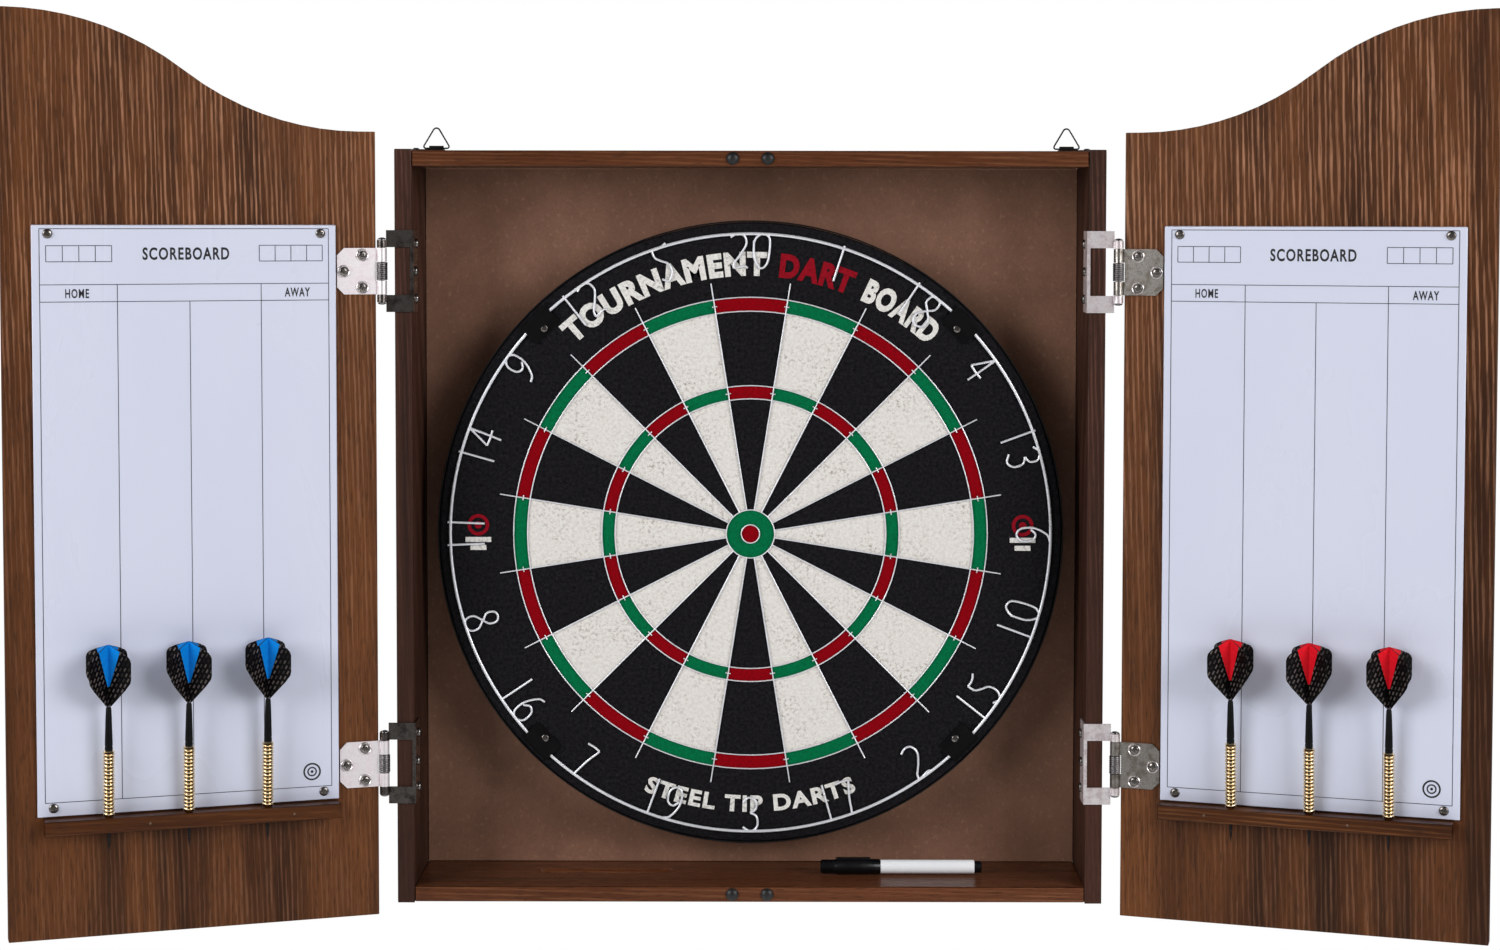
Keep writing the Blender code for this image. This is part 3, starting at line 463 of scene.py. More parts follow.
def join_rows(bm, first, second):
    """Faces between two closed rows of points, either of which may be a single point."""
    count = max(len(first), len(second))
    for i in range(count):
        j = (i + 1) % count
        corners = [first[i % len(first)], first[j % len(first)]]
        corners += [second[j % len(second)], second[i % len(second)]]
        bm.faces.new(list(dict.fromkeys(corners)))


def rounded(points, radius):
    """A profile with its inner corners rounded off."""
    result = [points[0]]
    for before, corner, after in zip(points, points[1:], points[2:]):
        corner = Vector(corner)
        to_before, to_after = Vector(before) - corner, Vector(after) - corner
        cut = min(radius, to_before.length * 0.45, to_after.length * 0.45)
        start, end = corner + to_before.normalized() * cut, corner + to_after.normalized() * cut
        for t in (0, 1 / 3, 2 / 3, 1):
            result.append(tuple(start * (1 - t) ** 2 + corner * 2 * t * (1 - t) + end * t**2))
    result.append(points[-1])
    return result


def slab(bm, outline, low, high):
    """Adds a closed prism: an outline in XY between two heights. Returns its faces."""
    rows = [[bm.verts.new((x, y, z)) for x, y in outline] for z in (low, high)]
    faces = [bm.faces.new(list(reversed(rows[0]))), bm.faces.new(rows[1])]
    count = len(outline)
    for i in range(count):
        j = (i + 1) % count
        faces.append(bm.faces.new((rows[0][i], rows[0][j], rows[1][j], rows[1][i])))
    return faces


def rectangle(left, bottom, right, top):
    return [(left, bottom), (right, bottom), (right, top), (left, top)]


def rounded_rectangle(width, height, radius):
    outline = []
    for sx, sy, start in ((1, 1, 0), (-1, 1, 90), (-1, -1, 180), (1, -1, 270)):
        cx, cy = sx * (width / 2 - radius), sy * (height / 2 - radius)
        for i in range(5):
            angle = radians(start + 90 * i / 4)
            outline.append((cx + radius * cos(angle), cy + radius * sin(angle)))
    return outline


def cut_mesh(mesh, *cutters):
    """The mesh with other meshes cut out of it."""
    obj = linked("cut", mesh)
    helpers = [linked("cutter", cutter) for cutter in cutters]
    for helper in helpers:
        modifier = obj.modifiers.new("cut", "BOOLEAN")
        modifier.operation = "DIFFERENCE"
        modifier.object = helper
        modifier.solver = "EXACT"
    result = baked(obj)
    for helper in helpers:
        bpy.data.objects.remove(helper)
    result.name = mesh.name
    result.set_sharp_from_angle(angle=radians(40))
    return result


def wire(name, paths, radius, material, body, slot, matrix, cyclic=False, sides=4, replaced=()):
    """Round wire along one or more paths, as a mesh with closed ends."""
    curve = bpy.data.curves.new(name, "CURVE")
    curve.dimensions = "3D"
    curve.bevel_depth = radius
    curve.bevel_resolution = sides
    curve.use_fill_caps = True
    for path in paths:
        spline = curve.splines.new("POLY")
        spline.points.add(len(path) - 1)
        for point, place in zip(spline.points, path):
            point.co = (*place, 1)
        spline.use_cyclic_u = cyclic
    mesh = baked(linked(name, curve))
    mesh.materials.clear()
    mesh.shade_smooth()
    mesh.set_sharp_from_angle(angle=radians(60))
    return keep(name, mesh, material, body, slot, matrix, replaced)


def flowing(points, steps):
    """A smooth line through points (Catmull-Rom)."""
    ends = [Vector(points[0]) * 2 - Vector(points[1]), Vector(points[-1]) * 2 - Vector(points[-2])]
    chain = [ends[0], *[Vector(p) for p in points], ends[1]]
    line = []
    for a, b, c, d in zip(chain, chain[1:], chain[2:], chain[3:]):
        for i in range(steps):
            t = i / steps
            line.append(
                0.5 * (2 * b + (c - a) * t + (2 * a - 5 * b + 4 * c - d) * t**2
                       + (3 * b - a - 3 * c + d) * t**3)
            )
    line.append(chain[-2])
    return line


CAPITAL_SHARE = 0.73  # a capital's height in the built-in font, as a share of the font's size


def lettering(text, height, width_share, weight, depth, spacing):
    """Flat raised lettering, centred on the origin, as a bmesh."""
    curve = bpy.data.curves.new("lettering", "FONT")
    curve.body = text
    curve.size = height / CAPITAL_SHARE
    curve.align_x = "CENTER"
    curve.offset = weight
    curve.space_character = spacing
    curve.extrude = depth / 2
    curve.resolution_u = 4
    bm = bmesh.new()
    bm.from_mesh(baked(linked("lettering", curve)))
    bmesh.ops.remove_doubles(bm, verts=bm.verts, dist=0.000002)
    for vertex in bm.verts:
        vertex.co.x *= width_share
        vertex.co.y -= height / 2
        vertex.co.z += depth / 2
    return bm


# Screws


def screw_mesh(name, radius, height):
    """A pan head with a cross recess. Its seat is at height 0."""
    profile = [(0, height), (radius * 0.45, height * 0.97), (radius * 0.8, height * 0.76)]
    profile += [(radius * 0.96, height * 0.42), (radius, height * 0.12), (radius * 0.97, 0), (0, 0)]
    head = lathe(name, profile, 28)
    arm, half = radius * 0.56, radius * 0.13
    cutters = []
    for turned in (False, True):
        bm = bmesh.new()
        outline = rectangle(-arm, -half, arm, half)
        if turned:
            outline = [(-y, x) for x, y in outline]
        slab(bm, outline, height * 0.45, height * 1.5)
        cutters.append(made_mesh("recess", bm, 0))
    return cut_mesh(head, *cutters)


spin = Random(SEED)


def screw(name, mesh, body, slot, place, normal):
    turn = Matrix.Rotation(spin.uniform(0, pi / 2), 4, "Z")
    up = (0, 0, 1) if abs(Vector(normal).z) < 0.9 else (0, 1, 0)
    return keep(name, mesh, "screw", body, slot, facing(place, normal, up) @ turn)


HINGE_SCREW = screw_mesh("hinge_screw", 0.0031, 0.0013)
LEAF_SCREW = screw_mesh("leaf_screw", 0.0034, 0.0022)
BOARD_SCREW = screw_mesh("board_screw", 0.0033, 0.0013)
SMALL_SCREW = screw_mesh("small_screw", 0.0027, 0.0011)
CLIP_SCREW = screw_mesh("clip_screw", 0.0027, 0.0007)


# CAD nodes that stay


def dress(node, material, bevel=0.0, split=35):
    """A CAD node shown as it is: its material, softened edges, and smooth shading on its curves."""
    obj = frame["nodes"][node]
    mesh = obj.data
    mesh.materials.clear()
    mesh.materials.append(MATERIALS[material])
    for polygon in mesh.polygons:
        polygon.material_index = 0
    if "custom_normal" in mesh.attributes:
        mesh.attributes.remove(mesh.attributes["custom_normal"])
    mesh.shade_smooth()
    obj.modifiers.new("weld", "WELD").merge_threshold = 0.00001
    if not bevel:
        obj.modifiers.new("sharp", "EDGE_SPLIT").split_angle = radians(split)
        return
    soft = obj.modifiers.new("bevel", "BEVEL")
    soft.width = bevel
    soft.segments = 2
    soft.limit_method = "ANGLE"
    soft.angle_limit = radians(40)
    obj.modifiers.new("level", "WEIGHTED_NORMAL").weight = 100


# The left hinge leaves take lit and shaded copies of the plating: a painted reflection on the left door
# leaves and painted shade on the left frame leaves. The right frame and door leaves take plain nickel and a
# darker plating.
FRAME_LEAF = {"left": "dark_leaf", "right": "nickel"}
DOOR_LEAF = {"left": "pale_leaf", "right": "leaf"}


def dress_nodes():
    for side in SIDES:
        dress(f"{side}_side_panel", "side", 0.0006)
        dress(f"{side}_door", "door", 0.0007)
        dress(f"{side}_scoreboard", "laminate", 0.0004)
        dress(f"{side}_dart_rack", "rack", 0.0007)
        dress(f"{side}_hanger_plate", "loop")
        dress(f"{side}_hanger_loop", "loop", split=60)
        for height in ("upper", "lower"):
            dress(f"{height}_{side}_frame_leaf", FRAME_LEAF[side], split=32)
            dress(f"{height}_{side}_door_leaf", DOOR_LEAF[side], split=32)
    for level in ("top", "bottom"):
        dress(f"{level}_panel", "shelf", 0.0006)
    dress("back_panel", "fibreboard", 0.0004)
    dress("board_bracket", "nickel")
    dress("centre_screw", "screw")
    dress("backing_board", "chipboard", split=40)


# Cabinet fittings


BUMPER_R, BUMPER_STEM_R = 0.0045, 0.0025
BUMPER_HEIGHT, BUMPER_STEM = 0.0028, 0.0079
SIDE_SCREW_Z = 0.2485
SIDE_SCREW_Y = (-0.071, -0.016)
HANGER_SCREW_X, HANGER_SCREW_Y = 0.24425, -0.0115
BRACKET_SCREWS = [(x, z) for z in (0.014, -0.008) for x in (-0.0195, 0.0195)]
SHEET_T = 0.001  # the hanger plates and the board's bracket
BEAD_SECTION = [(0.0, 0.0), (0.0, -0.0011), (0.0004, -0.0009), (0.0009, -0.0004), (0.0011, 0.0)]
BEAD_INSET = 0.0002
BEAD_TURN = Matrix(((0, 0, 1, 0), (-1, 0, 0, 0), (0, 1, 0, 0), (0, 0, 0, 1)))  # section X to -Y, Y to Z


def bumpers():
    dome = [(0, BUMPER_HEIGHT), (0.0018, BUMPER_HEIGHT * 0.95), (0.0034, BUMPER_HEIGHT * 0.68)]
    dome += [(BUMPER_R, 0.0007), (BUMPER_R, GAP), (BUMPER_STEM_R, GAP)]
    profile = rounded(dome, 0.0008) + [(BUMPER_STEM_R, -BUMPER_STEM), (0, -BUMPER_STEM)]
    mesh = lathe("bumper", profile, 32)
    for node in sorted(SLOT_OF):
        if node.endswith("_bumper"):
            low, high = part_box(node)
            middle = (low + high) / 2
            place = facing((middle.x, FRONT_Y, middle.z), (0, -1, 0))
            keep(f"{node}_dome", mesh, "rubber", "cabinet", SLOT_OF[node], place, [node])


def cabinet_screws():
    for side, hand in (("left", -1), ("right", 1)):
        for i, z in enumerate((SIDE_SCREW_Z, -SIDE_SCREW_Z)):
            for j, y in enumerate(SIDE_SCREW_Y):
                place = (hand * HALF_WIDTH, y, z)
                screw(f"{side}_side_screw_{i}{j}", SMALL_SCREW, "cabinet", "nickel", place, (hand, 0, 0))
        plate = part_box(f"{side}_hanger_plate")
        place = (hand * HANGER_SCREW_X, HANGER_SCREW_Y, plate[0].z + SHEET_T)
        screw(f"{side}_hanger_screw", SMALL_SCREW, "cabinet", "nickel", place, (0, 0, 1))
    for i, (x, z) in enumerate(BRACKET_SCREWS):
        place = (x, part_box("back_panel")[0].y - GAP - SHEET_T, BULL_Z + z)
        screw(f"bracket_screw_{i}", SMALL_SCREW, "cabinet", "nickel", place, (0, -1, 0))


def seam_bead():
    """A thin glue bead along the joint between the back panel and the top panel."""
    back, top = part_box("back_panel"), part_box("top_panel")
    bm = bmesh.new()
    slab(bm, BEAD_SECTION, back[0].x + BEAD_INSET, back[1].x - BEAD_INSET)
    mesh = made_mesh("seam_bead", bm, 60)
    place = Matrix.Translation((0, back[0].y, top[0].z)) @ BEAD_TURN
    keep("back_seam_bead", mesh, "fibreboard", "cabinet", SLOT_OF["back_panel"], place)


# Hinges


LEAF_T = 0.0012
KNUCKLE_END = 0.0219
PIN_R, PIN_HEAD_R, PIN_HEAD = 0.0019, 0.0031, 0.0015
SPRING_R, SPRING_GROOVE_R, SPRING_HALF, SPRING_TURNS = 0.004, 0.0036, 0.0063, 9
HINGE_Z = {"upper": 0.1818, "lower": -0.1672}
DOOR_SCREWS = ((0.0138, -0.0113), (0.0270, 0.0), (0.0138, 0.0113))
CUP_PROFILE = [(0.0033, 0.0), (0.0046, 0.0), (0.0045, 0.0006), (0.0040, 0.0010), (0.0035, 0.0007)]
FRAME_SCREWS = ((0.014, -0.0195), (0.0095, 0.0), (0.014, 0.0195))


def pin_profile():
    """The pin's two domed heads, its shank and the coils of the spring barrel."""
    end = KNUCKLE_END + GAP
    top = [(0, end + PIN_HEAD), (0.0012, end + PIN_HEAD * 0.94), (0.0024, end + PIN_HEAD * 0.66)]
    top += [(PIN_HEAD_R, end + PIN_HEAD * 0.2), (PIN_HEAD_R, end), (PIN_R, end)]
    coils = [(PIN_R, SPRING_HALF)]
    pitch = 2 * SPRING_HALF / SPRING_TURNS
    for i in range(SPRING_TURNS):
        start = SPRING_HALF - i * pitch
        coils += [(SPRING_GROOVE_R, start), (SPRING_R, start - pitch * 0.3)]
        coils += [(SPRING_R, start - pitch * 0.7)]
    coils += [(SPRING_GROOVE_R, -SPRING_HALF)]
    return top + coils + [(r, -z) for r, z in reversed(top + [(PIN_R, SPRING_HALF)])]


def door_leaf_screws(side, height, z, cup):
    door = DOORS[side]
    normal = door.to_3x3() @ Vector((0, 1, 0))
    for i, (reach, up) in enumerate(DOOR_SCREWS):
        seat = door @ Vector((SIDES[side] * reach, FACE + GAP + LEAF_T, z + up))
        name = f"{height}_{side}_door_leaf_screw_{i}"
        screw(name, HINGE_SCREW, f"{side}_door", "nickel", seat, normal)
        keep(f"{name}_cup", cup, "cup", f"{side}_door", "nickel", facing(seat, normal))


def frame_leaf_screws(side, height, z):
    hand = SIDES[side]
    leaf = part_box(f"{height}_{side}_frame_leaf")
    inner = leaf[1].x if hand > 0 else leaf[0].x
    for i, (depth, up) in enumerate(FRAME_SCREWS):
        seat = (inner, FRONT_Y - GAP + depth, z + up)
        name = f"{height}_{side}_frame_leaf_screw_{i}"
        screw(name, LEAF_SCREW, "cabinet", "nickel", seat, (hand, 0, 0))


def hinges():
    mesh = lathe("hinge_pin", pin_profile(), 28, 50)
    cup = lathe("screw_cup", CUP_PROFILE, 32, 60)
    for height, z in HINGE_Z.items():
        for side in SIDES:
            pivot = Vector(JOINTS[f"{side}_door_swing"]["pos_m"]) + Vector((0, 0, z))
            node = f"{height}_{side}_hinge_pin"
            place = Matrix.Translation(pivot)
            keep(f"{node}_turned", mesh, "spring", "cabinet", SLOT_OF[node], place, [node])
            door_leaf_screws(side, height, z, cup)
            frame_leaf_screws(side, height, z)


# Doors


FACE = -0.00175  # a door's inner face, in the frame of its hinge axis
SCORE_FACE = FACE + 0.0031
PRINT_T, PRINT_GAP = 0.00006, 0.00001
LINE_W = 0.0005
SCORE_SCREW_INSET = (0.0107, 0.0060)
MARGIN, TOP_MARGIN, BOTTOM_MARGIN = 0.0052, 0.0027, 0.0098
LEFT_COLUMN, RIGHT_COLUMN = 0.0566, 0.0520
BOX_INSET, BOX_TOP, BOX_HEIGHT, BOX_WIDTH, BOX_COUNT = 0.0043, 0.0142, 0.0109, 0.0436, 4
HEAD_ROW, TITLE_ROW = 0.0407, 0.0524
TITLE_DROP, HOME_INSET, AWAY_INSET = 0.0195, 0.0298, 0.0270
WORD_SPACING = 1.18
TARGET_RINGS = ((0.0062, 0.0050), (0.0034, 0.0024), (0.0010, 0))
TARGET_INSET = (0.0190, 0.0205)
RACK_NAILS = (0.1645, 0.0659)
NAIL_PROFILE = [(0, 0.0003), (0.0006, 0.00025), (0.0009, 0.0001), (0.0009, -0.0002), (0, -0.0002)]


def panel_frame(side):
    """A scoreboard's printed face: origin at its middle, X to the reader's right, Y up."""
    low, high = local_box(f"{side}_scoreboard", DOORS[side])
    middle = ((low.x + high.x) / 2, SCORE_FACE, (low.z + high.z) / 2)
    place = DOORS[side] @ facing(middle, (0, 1, 0))
    return place, high.x - low.x, high.z - low.z


def print_lines(width, height):
    """The scoreboard's ruled lines as (left, bottom, right, top), from the panel's middle."""
    left, right = -width / 2 + MARGIN, width / 2 - MARGIN
    top, bottom = height / 2 - TOP_MARGIN, -height / 2 + BOTTOM_MARGIN
    first, second = height / 2 - HEAD_ROW, height / 2 - TITLE_ROW
    columns = (-width / 2 + LEFT_COLUMN, width / 2 - RIGHT_COLUMN)
    half = LINE_W / 2
    lines = [(left, y - half, right, y + half) for y in (top, bottom, first, second)]
    lines += [(x - half, bottom, x + half, top) for x in (left, right)]
    lines += [(x - half, bottom, x + half, first) for x in columns]
    middle = sum(columns) / 2
    lines.append((middle - half, bottom, middle + half, second))
    high = height / 2 - BOX_TOP
    low = high - BOX_HEIGHT
    for start in (left + BOX_INSET, right - BOX_INSET - BOX_WIDTH):
        lines += [(start, y - half, start + BOX_WIDTH, y + half) for y in (low, high)]
        for i in range(BOX_COUNT + 1):
            x = start + BOX_WIDTH * i / BOX_COUNT
            lines.append((x - half, low, x + half, high))
    return lines


def score_print(side):
    place, width, height = panel_frame(side)
    name = f"{side}_scoreboard"

    def printed(label, bm, material, x=0.0, y=0.0, lift=PRINT_GAP):
        mesh = made_mesh(label, bm, 0)
        spot = place @ Matrix.Translation((x, y, lift))
        keep(f"{name}_{label}", mesh, material, f"{side}_door", SLOT_OF[name], spot)

    bm = bmesh.new()
    for line in print_lines(width, height):
        slab(bm, rectangle(*line), PRINT_GAP, PRINT_T)
    printed("lines", bm, "ink", lift=0.0)
    row = height / 2 - (HEAD_ROW + TITLE_ROW) / 2
    home, away = -width / 2 + HOME_INSET, width / 2 - AWAY_INSET
    words = [("SCOREBOARD", 0, height / 2 - TITLE_DROP, 0.0084, 0.70, 0.00030)]
    words += [("HOME", home, row, 0.0062, 0.61, 0.00018), ("AWAY", away, row, 0.0062, 0.62, 0.00022)]
    for text, x, y, size, share, weight in words:
        bm = lettering(text, size, share, weight, PRINT_T, WORD_SPACING)
        printed(text.lower(), bm, "bold_ink", x, y)
    bm = bmesh.new()
    for outer, inner in TARGET_RINGS:
        flat_ring(bm, outer, inner, PRINT_T, 0.0, 32)
    printed("target", bm, "bold_ink", width / 2 - TARGET_INSET[0], TARGET_INSET[1] - height / 2)


def scoreboard_screws(side):
    place, width, height = panel_frame(side)
    normal = place.to_3x3() @ Vector((0, 0, 1))
    for i, (sx, sy) in enumerate(((-1, 1), (1, 1), (-1, -1), (1, -1))):
        x = sx * (width / 2 - SCORE_SCREW_INSET[0])
        y = sy * (height / 2 - SCORE_SCREW_INSET[1])
        seat = place @ Vector((x, y, 0))
        screw(f"{side}_scoreboard_screw_{i}", BOARD_SCREW, f"{side}_door", "nickel", seat, normal)


def rack_nails(side):
    low, high = local_box(f"{side}_dart_rack", DOORS[side])
    mesh = lathe("nail", NAIL_PROFILE, 16)
    for i, reach in enumerate(RACK_NAILS):
        spot = (SIDES[side] * reach, high.y, (low.z + high.z) / 2)
        place = DOORS[side] @ facing(spot, (0, 1, 0))
        keep(f"{side}_rack_nail_{i}", mesh, "nail", f"{side}_door", "nickel", place)


# Darts


POINT_END, POINT_TAPER, POINT_R = -0.0236, 0.011, 0.00115
GROOVE = [(0.00110, 0.04), (0.00040, 0.24), (0.00006, 0.38), (0.0, 0.50)]  # (depth, share of a ring)
GROOVE += [(0.00006, 0.62), (0.00040, 0.76), (0.00110, 0.96)]
SHAFT_END = 0.0774
FLIGHT_END = 0.1205
WING_T = 0.00045
WING = [(0.0022, 0.0779), (0.0073, 0.0832), (0.0146, 0.0906), (0.0187, 0.0958), (0.0194, 0.0984)]
WING += [(0.0194, 0.1100), (0.0187, 0.1122), (0.0166, 0.1142), (0.0110, 0.1168), (0.0008, 0.1204)]
CHEVRON_DEPTH, CHEVRON_TOP, CHEVRON_FOOT = 0.0290, 0.0112, 0.0012


def dart_frame(side, index):
    """The dart's axis from where it enters the rack, with Y out of the door."""
    lift = Vector(JOINTS[f"{side}_dart_{index}_lift"]["axis"]).normalized()
    low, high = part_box(f"{side}_dart_{index}_shaft")
    middle = (low + high) / 2
    rack_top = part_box(f"{side}_dart_rack")[1].z
    origin = middle + lift * ((rack_top - middle.z) / lift.z)
    return facing(origin, lift, DOORS[side].to_3x3() @ Vector((0, 1, 0)))


def point_mesh():
    tip = POINT_END + POINT_TAPER
    profile = [(0, GAP + 0.002), (POINT_R, GAP + 0.002), (POINT_R, tip), (POINT_R * 0.7, tip - 0.006)]
    return lathe("point", profile + [(POINT_R * 0.25, POINT_END + 0.0006), (0, POINT_END)], 16)


def barrel_mesh():
    """Turned rings with a rounded crest and a deep groove between them."""
    end = BARREL_LENGTH - 0.0001
    rows = [(0.0, GAP), (BARREL_R - 0.0014, GAP), (BARREL_R - 0.0002, 0.0016)]
    for i in range(BARREL_RINGS):
        start = RING_START + i * RING_PITCH
        rows += [(BARREL_R - depth, start + RING_PITCH * share) for depth, share in GROOVE]
    rows += [(BARREL_R - 0.0002, BARREL_LENGTH - 0.0009), (BARREL_R - 0.0008, end), (0.0, end)]
    return lathe("barrel", rows, BARREL_SIDES, 48)


def shaft_mesh():
    profile = [(0, SHAFT_END), (0.0013, SHAFT_END), (0.0018, SHAFT_END - 0.0010)]
    profile += [(0.0021, SHAFT_END - 0.0060), (0.0026, BARREL_LENGTH + 0.0080)]
    profile += [(0.0027, BARREL_LENGTH + 0.0035), (0.0023, BARREL_LENGTH + 0.0030)]
    profile += [(0.0027, BARREL_LENGTH + 0.0024), (0.0027, BARREL_LENGTH + GAP)]
    return lathe("shaft", profile + [(0, BARREL_LENGTH + GAP)], 28, 30)


def wing_edge(z):
    """How far a wing reaches from the axis at a height."""
    for (r0, z0), (r1, z1) in zip(WING, WING[1:]):
        if z0 <= z <= z1:
            return r0 + (r1 - r0) * (z - z0) / (z1 - z0)


def flight_mesh(name, color):
    """Four wings. On each, the part next to the axis is coloured: a wedge that narrows downward."""
    bm = bmesh.new()
    uv = bm.loops.layers.uv.new("weave")
    foot = FLIGHT_END - CHEVRON_DEPTH
    rows = []
    for z in sorted({z for _, z in WING} | {foot}):
        share = max((z - foot) / CHEVRON_DEPTH, 0)
        edge = wing_edge(z)
        wedge = min(CHEVRON_FOOT + (CHEVRON_TOP - CHEVRON_FOOT) * share, edge * 0.97)
        rows.append((z, [0.0, wedge, edge]))
    for quarter in range(4):
        add_wing(bm, uv, rows, foot, pi / 4 + quarter * pi / 2)
    mesh = made_mesh(name, bm, 0)
    mesh.materials.append(MATERIALS["weave"])
    mesh.materials.append(MATERIALS[color])
    return mesh


def add_wing(bm, uv, rows, foot, angle):
    """A thin closed plate from the axis outward, turned about the axis."""
    across = Vector((cos(angle), sin(angle), 0))
    hand_across = -1 if across.x > 0 else 1  # so that the weave slants one way on both wings
    normal = Vector((-sin(angle), cos(angle), 0)) * WING_T / 2
    grids = []
    for hand in (1, -1):
        grid = [[bm.verts.new(across * r + normal * hand + Vector((0, 0, z))) for r in radii]
                for z, radii in rows]
        grids.append(grid)
    front, back = grids
    last = len(rows) - 1
    for i in range(last):
        for j in range(2):
            colored = j == 0 and rows[i][0] >= foot - 0.00001
            for grid in grids:
                quad = (grid[i][j], grid[i][j + 1], grid[i + 1][j + 1], grid[i + 1][j])
                places = [(rows[i][1][j], i), (rows[i][1][j + 1], i)]
                places += [(rows[i + 1][1][j + 1], i + 1), (rows[i + 1][1][j], i + 1)]
                face = bm.faces.new(quad)
                face.material_index = int(colored)
                for loop, (r, k) in zip(face.loops, places):
                    loop[uv].uv = (r * hand_across, rows[k][0])
        for j in (0, 2):
            bm.faces.new((front[i][j], front[i + 1][j], back[i + 1][j], back[i][j]))
    for i in (0, last):
        for j in range(2):
            bm.faces.new((front[i][j], front[i][j + 1], back[i][j + 1], back[i][j]))


def darts():
    meshes = {"point": point_mesh(), "barrel": barrel_mesh(), "shaft": shaft_mesh()}
    flights = {"left": flight_mesh("blue_flight", "blue"), "right": flight_mesh("red_flight", "red")}
    for side in SIDES:
        for index in (1, 2, 3):
            name = f"{side}_dart_{index}"
            place = dart_frame(side, index)
            barrel, shaft, flight = (f"{name}_{part}" for part in ("barrel", "shaft", "flight"))
            keep(f"{name}_point", meshes["point"], "point", name, "dark_wire", place, [barrel])
            keep(f"{name}_knurled_barrel", meshes["barrel"], "brass", name, "brass", place, [barrel])
            keep(f"{name}_turned_shaft", meshes["shaft"], "nylon", name, SLOT_OF[shaft], place, [shaft])
            keep(f"{name}_wings", flights[side], None, name, SLOT_OF[flight], place, [flight])


# Dartboard


SISAL_R, SISAL_T = 0.2242, 0.0267
BAND_R = (0.2245, 0.2255)
BAND_FRONT, BAND_EDGE = -0.0020, 0.0003
BULL_R, OUTER_BULL_R = 0.0066, 0.0174
TREBLE, DOUBLE = (0.0975, 0.107), (0.1605, 0.1705)
RADIAL_MIDDLE, RADIAL_END = 0.13, 0.1825
RING_WIRE, RADIAL_WIRE, STAPLE_WIRE = 0.00044, 0.00048, 0.00042
RING_LIFT, RADIAL_LIFT, STAPLE_LIFT = 0.00075, 0.00085, 0.00095  # above the sisal's face
STAPLE_HALF = 0.0019
NUMBERS = (20, 1, 18, 4, 13, 6, 10, 15, 2, 17, 3, 19, 7, 16, 8, 11, 14, 9, 12, 5)
SECTOR = 2 * pi / len(NUMBERS)
SUBSTEPS = 8
PLAIN_RADII = [0.035, 0.058, 0.080, 0.121, 0.142, 0.188, 0.205]  # rows between the beds' edges
RIM_DROPS = {SISAL_R - 0.0030: 0.0, SISAL_R - 0.0009: 0.0009, SISAL_R: 0.0030}
SWELL, SINK = 0.00009, 0.0001


def bed_material(radius, sector):
    """Which sisal a bed is made of. Sector 0 is the 20, at the top."""
    if radius < BULL_R:
        return "sisal_red"
    if radius < OUTER_BULL_R:
        return "sisal_green"
    if radius > DOUBLE[1]:
        return "sisal_black"
    scoring = TREBLE[0] < radius < TREBLE[1] or radius > DOUBLE[0]
    if sector % 2 == 0:
        return "sisal_red" if scoring else "sisal_black"
    return "sisal_green" if scoring else "sisal_cream"


def board_angle(sector):
    """From the board's X axis, for a place counted in sectors clockwise from the top."""
    return pi / 2 - sector * SECTOR


def sisal():
    """The face in its beds, with a slightly uneven surface, and the disc behind it."""
    names = ["sisal_black", "sisal_cream", "sisal_red", "sisal_green"]
    radii = sorted([BULL_R, OUTER_BULL_R, *TREBLE, *DOUBLE, *PLAIN_RADII]) + list(RIM_DROPS)
    bm = bmesh.new()
    rows = [[bm.verts.new((0, 0, -SINK))]]
    for radius in radii:
        row = []
        for i in range(len(NUMBERS) * SUBSTEPS):
            angle = board_angle(i / SUBSTEPS - 0.5)
            point = Vector((radius * cos(angle), radius * sin(angle), 0))
            point.z = noise.noise(point * 60) * SWELL - SINK - RIM_DROPS.get(radius, 0)
            row.append(bm.verts.new(point))
        rows.append(row)
    rows.append([bm.verts.new((v.co.x, v.co.y, -SISAL_T)) for v in rows[-1]])
    for first, second in zip(rows, rows[1:]):
        before = len(bm.faces)
        join_rows(bm, first, second)
        bm.faces.ensure_lookup_table()
        for face in bm.faces[before:]:
            middle = face.calc_center_median()
            sector = round((pi / 2 - atan2(middle.y, middle.x)) / SECTOR) % len(NUMBERS)
            face.material_index = names.index(bed_material(middle.xy.length, sector))
    bm.faces.new(list(reversed(rows[-1])))
    mesh = made_mesh("sisal", bm, 35)
    for name in names:
        mesh.materials.append(MATERIALS[name])
    keep("sisal_beds", mesh, None, "dartboard", "sisal", BOARD, ["sisal_core"])


def rim_band():
    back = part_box("rim_band")[1].y - FACE_Y
    inner, outer = BAND_R
    section = [(inner, BAND_FRONT - BAND_EDGE), (inner + BAND_EDGE, BAND_FRONT)]
    section += [(outer - BAND_EDGE, BAND_FRONT), (outer, BAND_FRONT - BAND_EDGE)]
    section += [(outer, -back), (inner, -back)]
    mesh = lathe("band", section, 160)
    keep("rim_band_hoop", mesh, "band", "dartboard", SLOT_OF["rim_band"], BOARD, ["rim_band"])


